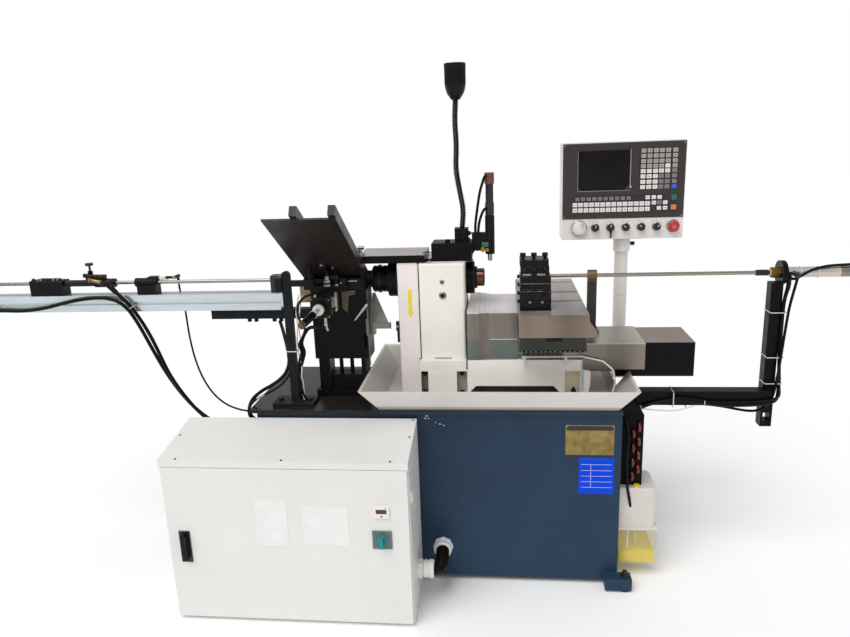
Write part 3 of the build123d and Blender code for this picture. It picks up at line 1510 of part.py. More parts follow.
# Cooler: finned core in a frame, with return bends on its front
cooler_x1 = base_x1 + cooler_depth
fin_pitch = (cooler_z1 - cooler_z0 - 40) / cooler_fins
bend_zs = [cooler_z0 + 34 + i * 50 for i in range(4)]
with BuildPart() as cooler:
    with BuildSketch(Plane.XZ.offset(-cooler_y0)):
        with BuildLine():
            Polyline((base_x1, cooler_z0), (base_x1, cooler_z1),
                     (cooler_x1 - cooler_chamfer, cooler_z1),
                     (cooler_x1, cooler_z1 - cooler_chamfer), (cooler_x1, cooler_z0), close=True)
        make_face()
    extrude(amount=-(cooler_y1 - cooler_y0))
    for i in range(cooler_fins):
        z = cooler_z0 + 12 + i * fin_pitch
        block(cooler_x1 - 22, cooler_x1, cooler_y0 + 8, cooler_y1 - 8, z, z + fin_pitch / 2,
              mode=Mode.SUBTRACT)
    for z in bend_zs:
        with BuildSketch(Plane.XY.offset(z + 14)):
            with Locations((cooler_x1 - 32, cooler_y0)):
                Circle(cooler_tube_radius)
        revolve(axis=Axis((0, cooler_y0, z), (1, 0, 0)))
save(cooler, "cooler")

# Lubricator: motor housing over a clear tank
lube_x1 = base_x1 + lube_depth
with BuildPart() as lubricator_body:
    block(base_x1, lube_x1, lube_y0, lube_y1, lube_z0 + 12, lube_z1)
    fillet(lubricator_body.edges().filter_by(Axis.Z).sort_by(Axis.X)[-2:], radius=18)
    fillet(lubricator_body.edges().group_by(Axis.Z)[-1], radius=6)
    block(base_x1, base_x1 + tank_depth, lube_y0 - 3, lube_y1 + 3, lube_z0, lube_z0 + 12)
    rod_z(lube_z1 - 7, lube_z1 + 8, base_x1 + 62, lube_y0 + 13, 10)
    rod_z(tank_z0 + 30, lube_z0, base_x1 + 70, lube_y0 + 60, 5)
    rod_z(tank_z0 + 20, tank_z0 + 34, base_x1 + 70, lube_y0 + 60, 13)
save(lubricator_body, "lubricator_body")

with BuildPart() as lubricator_tank:
    with BuildSketch(Plane.XY.offset(lube_z0)):
        with Locations((base_x1 + tank_depth / 2 + 1, (lube_y0 + lube_y1) / 2)):
            Rectangle(tank_depth - 2, lube_y1 - lube_y0)
    with BuildSketch(Plane.XY.offset(tank_z0)):
        with Locations((base_x1 + tank_depth / 2 + 1, (lube_y0 + lube_y1) / 2)):
            Rectangle(tank_depth - 2 - tank_draft, lube_y1 - lube_y0 - tank_draft)
    loft()
    with BuildSketch(Plane.XY.offset(lube_z0)):
        with Locations((base_x1 + tank_depth / 2 + 1, (lube_y0 + lube_y1) / 2)):
            Rectangle(tank_depth - 2 - 2 * tank_wall, lube_y1 - lube_y0 - 2 * tank_wall)
    with BuildSketch(Plane.XY.offset(tank_z0 + tank_wall)):
        with Locations((base_x1 + tank_depth / 2 + 1, (lube_y0 + lube_y1) / 2)):
            Rectangle(tank_depth - 2 - tank_draft - 2 * tank_wall,
                      lube_y1 - lube_y0 - tank_draft - 2 * tank_wall)
    loft(mode=Mode.SUBTRACT)
save(lubricator_tank, "lubricator_tank")

# Hoses; each route is chosen by hand
feed_hose_near_route = [
    (hose_a_x + elbow_reach, elbow_y, elbow_z - elbow_reach),
    (-1136, -45, 977),
    (-1104, -45, 942),
    (-1076, -45, 898),
    (-1050, -45, 848),
    (-1029, -45, 796),
    (-1011, -45, 744),
    (-993, -46, 694),
    (-969, -47, 645),
    (-939, -48, 597),
    (-904, -50, 550),
    (-862, -52, 508),
    (-812, -54, 476),
    (-756, -56, 455),
    (-700, -58, 445),
    (-654, -58, 441),
    (base_x0 - hose_gland_length, -58, 441),
]
feed_hose_far_route = [
    (rail_x0 + rail_port, rail_port_y, rail_port_z),
    (-1592, -44, 927),
    (-1540, -44, 924),
    (-1486, -44, 927),
    (-1430, -44, 935),
    (-1374, -44, 948),
    (-1320, -44, 960),
    (-1266, -44, 968),
    (-1214, -44, 971),
    (-1176, -44, 967),
    (-1143, -44, 954),
    (-1115, -44, 930),
    (-1093, -44, 894),
    (-1071, -44, 848),
    (-1050, -43, 796),
    (-1030, -42, 747),
    (-1009, -40, 698),
    (-984, -38, 648),
    (-953, -36, 597),
    (-915, -34, 547),
    (-868, -32, 503),
    (-814, -30, 468),
    (-756, -28, 446),
    (-698, -27, 436),
    (-652, -26, 433),
    (base_x0 - hose_gland_length, -26, 433),
]
rail_hose_route = [
    (air_inlet_x, air_inlet_y, air_inlet_z - air_inlet_drop - gap),
    (-950, 40, 984),
    (-944, 40, 948),
    (-938, 40, 908),
    (-936, 40, 864),
    (-935, 40, 818),
    (-931, 40, 772),
    (-924, 40, 720),
    (-912, 40, 668),
    (-893, 40, 616),
    (-864, 40, 568),
    (-824, 40, 530),
    (-776, 40, 509),
    (-724, 40, 500),
    (-668, 40, 497),
    (base_x0 - hose_gland_length, 40, 497),
]
arm_hose_route = [
    (arm_port_x, arm_port_y - 12, arm_port_z - gap),
    (arm_port_x, arm_port_y - 12, 962),
    (1178, -50, 916),
    (1174, -49, 868),
    (1171, -48, 818),
    (1168, -47, 766),
    (1165, -46, 712),
    (1161, -45, 658),
    (1154, -45, 606),
    (1136, -45, 564),
    (1112, -45, 543),
    (1076, -45, 536),
    (1030, -45, 543),
    (980, -45, 555),
    (928, -45, 562),
    (874, -45, 565),
    (820, -45, 566),
    (766, -45, 565),
    (712, -45, 562),
    (662, -45, 558),
    (636, -45, 557),
    (base_x1, -45, 557),
]
hose("feed_hose_near", feed_hose_near_route, feed_hose_radius)
hose("feed_hose_far", feed_hose_far_route, feed_hose_radius)
hose("rail_air_hose", rail_hose_route, rail_hose_radius)
hose("arm_hose", arm_hose_route, arm_hose_radius)
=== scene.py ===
import math

import bmesh
import bpy
from mathutils import Matrix, Vector


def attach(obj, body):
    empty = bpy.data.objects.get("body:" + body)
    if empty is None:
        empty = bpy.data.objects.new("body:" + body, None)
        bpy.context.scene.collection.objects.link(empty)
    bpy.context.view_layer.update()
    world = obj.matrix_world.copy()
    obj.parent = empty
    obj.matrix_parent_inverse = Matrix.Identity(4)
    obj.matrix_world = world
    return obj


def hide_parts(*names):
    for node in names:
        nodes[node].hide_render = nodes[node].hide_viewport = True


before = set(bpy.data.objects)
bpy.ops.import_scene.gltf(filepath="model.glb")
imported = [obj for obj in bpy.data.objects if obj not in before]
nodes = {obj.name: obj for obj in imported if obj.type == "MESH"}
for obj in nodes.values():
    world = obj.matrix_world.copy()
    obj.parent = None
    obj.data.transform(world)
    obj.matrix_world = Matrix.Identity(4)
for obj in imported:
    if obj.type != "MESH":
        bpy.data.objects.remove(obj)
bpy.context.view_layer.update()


# Camera, at the photograph's viewing angle
def look(yaw, pitch, roll):
    """The camera's rotation from its heading, its downward tilt and its roll."""
    fwd = Vector((-math.sin(yaw) * math.cos(pitch), math.cos(yaw) * math.cos(pitch), -math.sin(pitch)))
    right = Vector((math.cos(yaw), math.sin(yaw), 0))
    up = right.cross(fwd)
    x = math.cos(roll) * right + math.sin(roll) * up
    y = -math.sin(roll) * right + math.cos(roll) * up
    return Matrix((x, y, -fwd)).transposed().to_4x4()


CAMERA_PLACE = (0.2324, -2.3799, 1.4749)
HEADING = 0.113
DOWNWARD_TILT = 0.247
ROLL = -0.037
FOCAL_LENGTH = 29.6

lens = bpy.data.cameras.new("camera")
lens.lens = FOCAL_LENGTH
lens.sensor_width = 36
camera = bpy.data.objects.new("camera", lens)
bpy.context.collection.objects.link(camera)
camera.matrix_world = Matrix.Translation(CAMERA_PLACE) @ look(HEADING, DOWNWARD_TILT, ROLL)
bpy.context.scene.camera = camera


# Materials
def rgb(code):
    """A linear colour from its hexadecimal code."""
    parts = [int(code[i:i + 2], 16) / 255 for i in (1, 3, 5)]
    return tuple(p / 12.92 if p <= 0.04045 else ((p + 0.055) / 1.055) ** 2.4 for p in parts) + (1.0,)


class Nodes:
    """Short names for the shader nodes that the finishes use."""

    def __init__(self, tree):
        self.tree = tree

    def add(self, kind, **sockets):
        node = self.tree.nodes.new(kind)
        for name, value in sockets.items():
            self.put(node, name, value)
        return node

    def put(self, node, name, value):
        key = int(name[1:]) if name[0] == "i" and name[1:].isdigit() else name
        if isinstance(value, bpy.types.NodeSocket):
            self.tree.links.new(value, node.inputs[key])
        else:
            node.inputs[key].default_value = value

    def math(self, operation, a, b=0.0):
        node = self.tree.nodes.new("ShaderNodeMath")
        node.operation = operation
        self.put(node, "i0", a)
        self.put(node, "i1", b)
        return node.outputs[0]

    def mix(self, factor, a, b, blend="MIX"):
        node = self.tree.nodes.new("ShaderNodeMix")
        node.data_type = "RGBA"
        node.blend_type = blend
        self.put(node, "i0", factor)
        self.put(node, "i6", a)
        self.put(node, "i7", b)
        return node.outputs[2]

    def noise(self, vector, scale, detail=4.0, rough=0.6):
        node = self.add("ShaderNodeTexNoise", Vector=vector, Scale=scale, Detail=detail, Roughness=rough)
        return node.outputs["Fac"]

    def ramp(self, value, low, high, out_low=0.0, out_high=1.0):
        node = self.tree.nodes.new("ShaderNodeMapRange")
        for index, item in enumerate((value, low, high, out_low, out_high)):
            self.put(node, f"i{index}", item)
        return node.outputs[0]


def finish(name, colour, rough=0.4, metal=0.0, vary=0.08, scale=6.0, grain=0.15, grain_scale=260.0,
           wear=None, wear_amount=0.7, brush=None, zones=(), dust=None, specular=0.5, painted_sheen=0.0):
    """A material in the object's own coordinates: mottling, uneven gloss, a fine surface and worn
    edges. zones are boxes in millimetres, (low, high, colour, roughness, metal), with None for an
    open side. brush stretches the grain along one axis, as brushing or grinding does."""
    material = bpy.data.materials.new(name)
    material.use_nodes = True
    tree = material.node_tree
    tree.nodes.clear()
    n = Nodes(tree)
    out = n.add("ShaderNodeOutputMaterial")
    shader = n.add("ShaderNodeBsdfPrincipled")
    shader.inputs["Specular IOR Level"].default_value = specular
    tree.links.new(shader.outputs[0], out.inputs[0])
    place = n.add("ShaderNodeTexCoord").outputs["Object"]
    axes = n.add("ShaderNodeSeparateXYZ", Vector=place).outputs
    base = rgb(colour)
    gloss = rough
    metallic = metal
    for low, high, zone_colour, zone_rough, zone_metal in zones:
        share = None
        for i in range(3):
            for limit, test in ((low[i], "GREATER_THAN"), (high[i], "LESS_THAN")):
                if limit is not None:
                    step = n.math(test, axes[i], limit / 1000)
                    share = step if share is None else n.math("MULTIPLY", share, step)
        base = n.mix(share, base, rgb(zone_colour))
        gloss = n.ramp(share, 0.0, 1.0, gloss, zone_rough)
        if metallic != zone_metal or not isinstance(metallic, float):
            metallic = n.ramp(share, 0.0, 1.0, metallic, zone_metal)
    broad = n.noise(place, scale, 5.0, 0.62)
    tone = n.ramp(broad, 0.3, 0.7, 1.0 - vary, 1.0 + vary * 0.6)
    shade = n.add("ShaderNodeCombineXYZ", X=tone, Y=tone, Z=tone).outputs[0]
    base = n.mix(1.0, base, shade, "MULTIPLY")
    if brush:
        stretched = n.add("ShaderNodeMapping", Vector=place, Scale=brush).outputs[0]
        fine = n.noise(stretched, 1.0, 6.0, 0.7)
        streak = n.ramp(fine, 0.3, 0.7, 0.86, 1.12)
        streak = n.add("ShaderNodeCombineXYZ", X=streak, Y=streak, Z=streak).outputs[0]
        base = n.mix(1.0, base, streak, "MULTIPLY")
    else:
        fine = n.noise(place, grain_scale, 3.0, 0.6)
    # Broad stretched bands of lighter and darker colour: painted sheen and soft reflections on sheet
    # metal.
    if painted_sheen:
        wide = n.add("ShaderNodeMapping", Vector=place, Scale=(9.0, 2.0, 1.2)).outputs[0]
        sheen = n.ramp(n.noise(wide, 1.0, 2.0, 0.5), 0.32, 0.68, 1.0 - painted_sheen, 1.0 + painted_sheen)
        sheen = n.add("ShaderNodeCombineXYZ", X=sheen, Y=sheen, Z=sheen).outputs[0]
        base = n.mix(1.0, base, sheen, "MULTIPLY")
    if dust:
        specks = n.ramp(n.noise(place, 55.0, 6.0, 0.75), 0.60, 0.72)
        patches = n.ramp(n.noise(place, 3.0, 3.0, 0.6), 0.42, 0.66)
        base = n.mix(n.math("MULTIPLY", n.math("MULTIPLY", specks, patches), 0.55), base, rgb(dust))
    if wear:
        rounded = n.add("ShaderNodeBevel", Radius=0.0016)
        rounded.samples = 4
        flat = n.add("ShaderNodeNewGeometry").outputs["Normal"]
        dot = n.tree.nodes.new("ShaderNodeVectorMath")
        dot.operation = "DOT_PRODUCT"
        tree.links.new(rounded.outputs[0], dot.inputs[0])
        tree.links.new(flat, dot.inputs[1])
        edge = n.ramp(dot.outputs["Value"], 0.90, 0.995, 1.0, 0.0)
        chip = n.ramp(n.noise(place, 90.0, 4.0, 0.7), 0.46, 0.60)
        edge = n.math("MULTIPLY", n.math("MULTIPLY", edge, chip), wear_amount)
        base = n.mix(edge, base, rgb(wear))
    tree.links.new(base, shader.inputs["Base Color"])
    uneven = n.ramp(n.noise(place, scale * 4.0, 5.0, 0.65), 0.3, 0.7, -0.06, 0.09)
    gloss = n.math("ADD", gloss, uneven)
    tree.links.new(gloss, shader.inputs["Roughness"])
    if isinstance(metallic, float):
        shader.inputs["Metallic"].default_value = metallic
    else:
        tree.links.new(metallic, shader.inputs["Metallic"])
    bump = n.add("ShaderNodeBump", Strength=grain, Distance=0.0006, Height=fine)
    tree.links.new(bump.outputs[0], shader.inputs["Normal"])
    return material


ALL = (None, None, None)
VERTICAL = (420.0, 420.0, 9.0)
ALONG_X = (9.0, 420.0, 420.0)
ALONG_Y = (420.0, 9.0, 420.0)

base_paint = finish("base_paint", "#21384f", 0.34, vary=0.42, scale=1.1, wear="#7d8287", dust="#3f4f60",
                    specular=0.22,
                    zones=[((None, None, 615.5), ALL, "#272322", 0.26, 0.0),
                           ((-171, None, 614), (None, -250, 625.5), "#21384f", 0.36, 0.0)])
bolt_steel = finish("bolt_steel", "#4a4a4c", 0.4, 0.9, zones=[(ALL, (None, None, 8), "#2d2f31", 0.6,
                                                               0.3)])
pan_paint = finish("pan_paint", "#e3dfda", 0.42, vary=0.07, scale=4.0, wear="#8f8b84", dust="#a89f90",
                   zones=[((None, -262, None), (None, None, 700), "#bdb9b2", 0.36, 0.0)])
bed_paint = finish("bed_paint", "#f6f2eb", 0.42, vary=0.06, scale=4.0, wear="#9a948a", dust="#b4ab9c",
                   zones=[((None, -101, 764.5), (None, 101, None), "#8b867f", 0.28, 1.0),
                          ((437, -149, 641), (489, -100, 726), "#ece4c8", 0.5, 0.0),
                          ((79, -149, 641), (116, -100, 726), "#b7b0a0", 0.5, 0.0),
                          ((-42, -149, 641), (-16, -100, 726), "#8f8a80", 0.5, 0.0),
                          # Dark inside the bed's arch: painted shade.
                          ((126, -149, 629), (420, 149, 674), "#403d38", 0.5, 0.0),
                          ((290, -170, None), (620, -156, 790), "#e6e4de", 0.3, 0.0),
                          ((501, -100, 694), (640, 100, 752), "#7a7772", 0.4, 0.8)])
head_paint = finish("head_paint", "#f0ece2", 0.34, vary=0.07, scale=5.0, wear="#a7a096", dust="#c9bc9c",
                    zones=[((112, None, None), ALL, "#8b867f", 0.35, 0.8)])
cover_paint = finish("cover_paint", "#efe6e4", 0.36, vary=0.06, scale=4.5, wear="#a7a096", dust="#c9c3b7")
cabinet_paint = finish("cabinet_paint", "#e3e2df", 0.38, vary=0.05, scale=2.4, grain=0.25,
                       grain_scale=700.0,
                       wear="#b9b7b1", dust="#cbc8c0",
                       zones=[((-170, -516, 270), (-100, -511.2, 340), "#5f6a6c", 0.4, 0.0),
                              ((-158, -518, 380), (-108, -511.2, 424), "#ecebe6", 0.35, 0.0),
                              ((-783, -516, 211), (-745, -511.2, 323), "#0e0d0e", 0.35, 0.0)])
pendant_paint = finish("pendant_paint", "#e9e5e2", 0.36, vary=0.05, scale=5.0, wear="#b9b3aa",
                       dust="#d2cbbd",
                       zones=[((452, 180, 1186), (873, 187.4, 1450), "#2f2325", 0.34, 0.0),
                              ((703, None, 1075), (None, None, 1100), "#19191a", 0.35, 0.2)])
column_paint = finish("column_paint", "#e6e2db", 0.38, vary=0.07, scale=6.0, wear="#aaa398",
                      dust="#cbbfa9")
black_paint = finish("black_paint", "#110d0e", 0.34, vary=0.3, scale=6.0, wear="#5b534d", dust="#3d3733",
                     specular=0.10)
motor_paint = finish("motor_paint", "#0d090d", 0.28, vary=0.25, scale=4.0, wear="#6d655e",
                     specular=0.10, zones=[((None, None, 802.5), ALL, "#857a74", 0.3, 0.0)])
left_post_paint = finish("left_post_paint", "#1a1d1e", 0.46, vary=0.28, scale=7.0, wear="#6d685f",
                         dust="#474a48", specular=0.12,
                         zones=[((-598, None, None), (-541, -206.5, 700), "#b9b7b0", 0.45, 0.0),
                                ((-700, -215, 560), (-541, -170, 690), "#121112", 0.4, 0.0)])
pedestal_paint = finish("pedestal_paint", "#131011", 0.42, vary=0.3, scale=6.0, wear="#6f695f",
                        dust="#3f3c3a", specular=0.10,
                        zones=[((-476, -26, 938), (-261, 26, 1005), "#8f7f5e", 0.42, 0.1),
                               ((-217, None, 760), (None, None, 1010), "#57524c", 0.4, 0.3),
                               ((-815, -18.5, 878), (-408, 18.5, 916), "#1c2224", 0.42, 0.0)])
plate_paint = finish("plate_paint", "#241f1d", 0.34, vary=0.34, scale=4.0, wear="#a79e90", dust="#544d47",
                     specular=0.22)
cover_steel = finish("cover_steel", "#7c746d", 0.34, 1.0, vary=0.12, scale=3.0, brush=VERTICAL,
                     grain=0.10,
                     wear="#c8c2ba", painted_sheen=0.22, zones=[((None, None, 924.5), ALL, "#d9d1d3", 0.3, 0.1)])
stage_steel = finish("stage_steel", "#857d75", 0.34, 1.0, vary=0.12, scale=3.0, brush=VERTICAL,
                     grain=0.10,
                     wear="#c8c2ba", painted_sheen=0.22,
                     zones=[(ALL, (292, None, 834), "#6f7873", 0.4, 0.8),
                            ((480, None, None), ALL, "#7f776e", 0.32, 1.0),
                            ((480, None, 817.5), ALL, "#b3afa6", 0.3, 0.8),
                            ((None, None, 922.8), (490, None, None), "#d9d1d3", 0.3, 0.1)])
tool_steel = finish("tool_steel", "#100e0f", 0.30, 0.2, specular=0.2, vary=0.3, scale=20.0,
                    wear="#8b8680", dust="#55504a")
table_steel = finish("table_steel", "#a09893", 0.32, 0.35, vary=0.16, scale=8.0, brush=ALONG_Y,
                     grain=0.12,
                     wear="#d2ccc4", dust="#5c564f", painted_sheen=0.3,
                     zones=[((None, -312, None), (None, -308.9, None), "#8b7d70", 0.28, 0.9),
                            ((None, -309, None), (None, None, 915), "#4a4743", 0.5, 0.6)])
saddle_cast = finish("saddle_cast", "#55534f", 0.5, 0.5, vary=0.2, scale=9.0, wear="#99938b",
                     dust="#7a746b",
                     zones=[((495, None, 832.5), ALL, "#2a241d", 0.4, 0.2),
                            ((517, -22, 1000), (560, 22, None), "#6f5f3f", 0.4, 0.6)])
push_finish = finish("push_finish", "#938c86", 0.18, 1.0, specular=0.15, vary=0.06, scale=20.0,
                     grain=0.04,
                     zones=[((-1095, -24, 960), (-1009, 24, 1040), "#121011", 0.42, 0.0),
                            ((-1009.5, 8, 1024), (-984, 20, 1038), "#e4e2dc", 0.35, 0.0),
                            ((-984, 8, 1000), (-930, 60, 1040), "#1a191a", 0.4, 0.0)])
gate_finish = finish("gate_finish", "#0e0c0d", 0.34, 0.0, specular=0.16, vary=0.12, scale=20.0,
                     wear="#7b766f",
                     zones=[((None, -326, None), ALL, "#aaa49d", 0.2, 1.0),
                            ((None, -336, None), (None, -324, None), "#dcdad6", 0.35, 0.0),
                            (ALL, (None, -459, None), "#6f5a3a", 0.35, 1.0)])
gate_body = finish("gate_body", "#130d0d", 0.36, 0.0, specular=0.14, vary=0.14, scale=12.0,
                   wear="#8d867e",
                   zones=[((None, -220.9, None), (None, -151.1, None), "#bdb9b4", 0.26, 1.0),
                          ((None, -285, None), (None, -262, None), "#d8d6d1", 0.35, 0.2),
                          ((-321, -227, None), (None, -134, None), "#cfccc8", 0.26, 0.6)])
rail_alloy = finish("rail_alloy", "#cfd8dc", 0.30, 0.75, vary=0.10, scale=2.2, brush=ALONG_X, grain=0.08,
                    wear="#eeeeec",
                    zones=[((-1661, -60, 910), (-1635, -30, 940), "#8a6f3c", 0.35, 1.0),
                           ((-583, -21, 975.5), (-547, 21, 1040), "#242224", 0.42, 0.1),
                           (ALL, (-1660.2, None, None), "#2a2a2b", 0.4, 0.1)])
feed_finish = finish("feed_finish", "#100d0f", 0.34, 0.0, specular=0.14, vary=0.25, scale=14.0,
                     wear="#7b756e",
                     zones=[((-1200, -60, 990), (-1150, -34, 1035), "#1a1615", 0.3, 0.3),
                            ((-1368, -13, 1000), (-1248, 13, 1031), "#2a2729", 0.3, 0.3)])
spindle_finish = finish("spindle_finish", "#8e8983", 0.28, 1.0, specular=0.12, vary=0.1, scale=14.0,
                        wear="#c9c4bd",
                        zones=[((112.9, None, None), (141, None, None), "#110f10", 0.36, 0.1),
                               ((141, None, None), (149.2, None, None), "#1b1516", 0.36, 0.4),
                               ((149.2, None, None), ALL, "#64443a", 0.24, 1.0),
                               (ALL, (-57, None, None), "#5a5855", 0.4, 0.8)])
rotary_finish = finish("rotary_finish", "#110f10", 0.34, 0.0, specular=0.12, vary=0.2, scale=14.0,
                       wear="#807a73",
                       dust="#514b47",
                       zones=[(ALL, (-213.9, None, None), "#352a28", 0.3, 0.6),
                              ((-195, None, None), (-183, None, None), "#332c2a", 0.32, 0.6),
                              ((-156, None, None), ALL, "#131816", 0.42, 0.1)])
guard_paint = finish("guard_paint", "#110e0f", 0.34, vary=0.14, scale=6.0, specular=0.10,
                     grain=0.0, zones=[((None, None, 1112.4), ALL, "#a09898", 0.24, 0.0)])
neck_steel = finish("neck_steel", "#1c1416", 0.22, 0.4, vary=0.2, scale=30.0, grain=0.0, specular=0.6)
shade_paint = finish("shade_paint", "#0f0c0d", 0.26, vary=0.2, scale=10.0, grain=0.0, specular=0.18)
lamp_paint = finish("lamp_paint", "#110d0e", 0.34, vary=0.2, scale=10.0, wear="#5f5852", specular=0.12)
nozzle_paint = finish("nozzle_paint", "#1c1417", 0.24, 0.2, specular=0.15, vary=0.16, scale=14.0,
                      wear="#80685e",
                      zones=[((None, None, 1102), (178.5, None, 1176), "#0c1110", 0.42, 0.0),
                             ((178.5, None, 1335), (None, None, 1372), "#74503f", 0.32, 0.3),
                             ((178.5, None, 1273), (None, None, 1335), "#34333b", 0.20, 0.4),
                             ((178.5, None, 1234), (None, None, 1273), "#41393c", 0.26, 0.4)])
cast_iron = finish("cast_iron", "#4c4b49", 0.5, 0.6, vary=0.16, scale=12.0, wear="#8d8982")
motor_cast = finish("motor_cast", "#3a4650", 0.46, 0.1, vary=0.14, scale=9.0, wear="#8d8982")
belt_rubber = finish("belt_rubber", "#1c1b1b", 0.7, vary=0.2, scale=30.0, specular=0.3)
hose_rubber = finish("hose_rubber", "#0b0909", 0.38, vary=0.2, scale=30.0, grain_scale=900.0,
                     specular=0.14,
                     dust="#2e2a24")
chute_steel = finish("chute_steel", "#7c7a76", 0.34, 0.7, vary=0.3, scale=9.0, brush=(14.0, 14.0, 90.0),
                     grain=0.3, wear="#d0cdc8", dust="#3d3b37", painted_sheen=0.4)
stop_finish = finish("stop_finish", "#cdc3bb", 0.24, 0.7, vary=0.1, scale=9.0, brush=ALONG_X, grain=0.06,
                     zones=[((1116, -22, 990), (1142.2, 22, 1040), "#7d5c2c", 0.34, 1.0),
                            ((1165, -60, 1000), (1200, -17, 1026), "#1c1b1c", 0.4, 0.0),
                            ((1330, None, None), ALL, "#8d8781", 0.3, 1.0)])
rod_finish = finish("rod_finish", "#a39a90", 0.2, 1.0, vary=0.12, scale=9.0, grain=0.05,
                    zones=[((1068.5, None, None), ALL, "#171314", 0.36, 0.2)])
outrigger_paint = finish("outrigger_paint", "#0f0c0d", 0.34, vary=0.3, scale=6.0, wear="#5f5750",
                         dust="#37322e", specular=0.10,
                         zones=[((1141.9, -45, 960), (1161, 45, 1060), "#101216", 0.16, 0.1)])
knob_plastic = finish("knob_plastic", "#121112", 0.34, vary=0.12, scale=40.0, wear="#5d5955")
handle_plastic = finish("handle_plastic", "#0d0c0d", 0.3, specular=0.15, vary=0.12, scale=40.0,
                        wear="#5d5955")
teal_plastic = finish("teal_plastic", "#1f7f80", 0.36, vary=0.1, scale=40.0, wear="#5ea3a3")
stop_red = finish("stop_red", "#c4202f", 0.3, vary=0.08, scale=40.0, wear="#e0606a",
                  zones=[((None, 173.5, None), ALL, "#8e8a86", 0.3, 0.6)])
dial_finish = finish("dial_finish", "#b8b3ad", 0.2, 1.0, vary=0.08, scale=20.0, wear="#e4e0da")
gland_nylon = finish("gland_nylon", "#dcd9d4", 0.44, vary=0.08, scale=20.0, wear="#a9a59c",
                     zones=[((-22, -400, 100), (60, -284, 160), "#1d1b1b", 0.42, 0.0),
                            ((-620, None, 400), (-588, None, 520), "#232222", 0.45, 0.0)])
cooler_paint = finish("cooler_paint", "#0c0a0b", 0.42, 0.0, specular=0.10, vary=0.16, scale=10.0,
                      wear="#7b746d",
                      zones=[(ALL, (None, -190.2, None), "#b5674a", 0.28, 0.7)])
pump_plastic = finish("pump_plastic", "#d9d3cc", 0.42, vary=0.08, scale=8.0, wear="#b3aea4",
                      dust="#bdb59d",
                      zones=[((None, None, 337.4), ALL, "#e6c52b", 0.4, 0.0)])
white_plastic = finish("white_plastic", "#e9e7e3", 0.36, vary=0.05, scale=40.0, wear="#c5c2bb")
key_white = finish("key_white", "#e8e4e2", 0.42, vary=0.05, scale=60.0, wear="#ffffff")
key_grey = finish("key_grey", "#a4a196", 0.42, vary=0.08, scale=60.0, wear="#c8c6bc")
key_dark = finish("key_dark", "#837c7a", 0.42, vary=0.08, scale=60.0, wear="#a5a09c")
key_blue = finish("key_blue", "#2f5fcf", 0.4, vary=0.06, scale=60.0, wear="#7d9be0")
key_green = finish("key_green", "#1c6a4c", 0.4, vary=0.06, scale=60.0, wear="#5fa088")
key_orange = finish("key_orange", "#d9822b", 0.4, vary=0.06, scale=60.0, wear="#eeb27a")
screen_glass = finish("screen_glass", "#0d0c0e", 0.12, vary=0.5, scale=14.0, grain=0.0, specular=0.16)
# Dark for printed key legends and the brass plate's band, and painted shade for the panel's recesses and
# the headstock's slot.
print_and_recess_shade = finish("print_and_recess_shade", "#211b1c", 0.4, vary=0.1, scale=30.0)
trim_steel = finish("trim_steel", "#a8a39e", 0.25, 1.0, vary=0.08, scale=30.0, grain=0.05)
screw_steel = finish("screw_steel", "#8f8b86", 0.3, 1.0, vary=0.12, scale=60.0, wear="#d0ccc6")
black_oxide = finish("black_oxide", "#100e0e", 0.32, 0.1, specular=0.2, vary=0.15, scale=60.0,
                     wear="#7b756e")
brass = finish("brass", "#a08846", 0.34, 1.0, vary=0.16, scale=16.0, wear="#d8c58a", dust="#6a5a30")
plate_brass = finish("plate_brass", "#94804c", 0.32, 0.8, vary=0.4, scale=34.0, wear="#cdbf92",
                     dust="#5f5432")
plate_blue = finish("plate_blue", "#0a45d8", 0.36, specular=0.1, vary=0.08, scale=30.0, wear="#7ea3ea")
plate_white = finish("plate_white", "#e9e8e6", 0.40, vary=0.05, scale=30.0, wear="#c9c7c2")
yellow_film = finish("yellow_film", "#f0d81e", 0.4, vary=0.06, scale=40.0, wear="#fff08a")
window_red = finish("window_red", "#5f2320", 0.16, vary=0.2, scale=60.0, grain=0.0)
tie_nylon = finish("tie_nylon", "#dedcd8", 0.4, vary=0.05, scale=60.0)
device_grey = finish("device_grey", "#c9c9c5", 0.45, vary=0.08, scale=14.0, wear="#e3e3e0",
                     zones=[((None, -330, None), ALL, "#d7d3c4", 0.4, 0.1)])
pale_blue = finish("pale_blue", "#bcd0d8", 0.4, vary=0.06, scale=20.0)
strip_grey = finish("strip_grey", "#6f6a64", 0.4, 0.2, vary=0.2, scale=9.0)
cheek_tan = finish("cheek_tan", "#564c38", 0.36, 0.3, vary=0.3, scale=20.0)
# Painted shade for the saddle's recess under the table guard.
painted_recess_shade = finish("painted_recess_shade", "#2f302c", 0.42, 0.3, vary=0.18, scale=14.0)
green_paint = finish("green_paint", "#2e6a58", 0.4, vary=0.1, scale=30.0)
copper = finish("copper", "#7d4433", 0.24, 0.9, vary=0.3, scale=30.0)

CLEAR_PLASTIC_ALPHA = 0.16
clear_plastic = finish("clear_plastic", "#efe6b4", 0.08, vary=0.2, scale=12.0, grain=0.05)
clear_shader = next(x for x in clear_plastic.node_tree.nodes if x.type == "BSDF_PRINCIPLED")
clear_shader.inputs["Alpha"].default_value = CLEAR_PLASTIC_ALPHA
oil = finish("oil", "#f2d800", 0.10, vary=0.15, scale=14.0, grain=0.05)

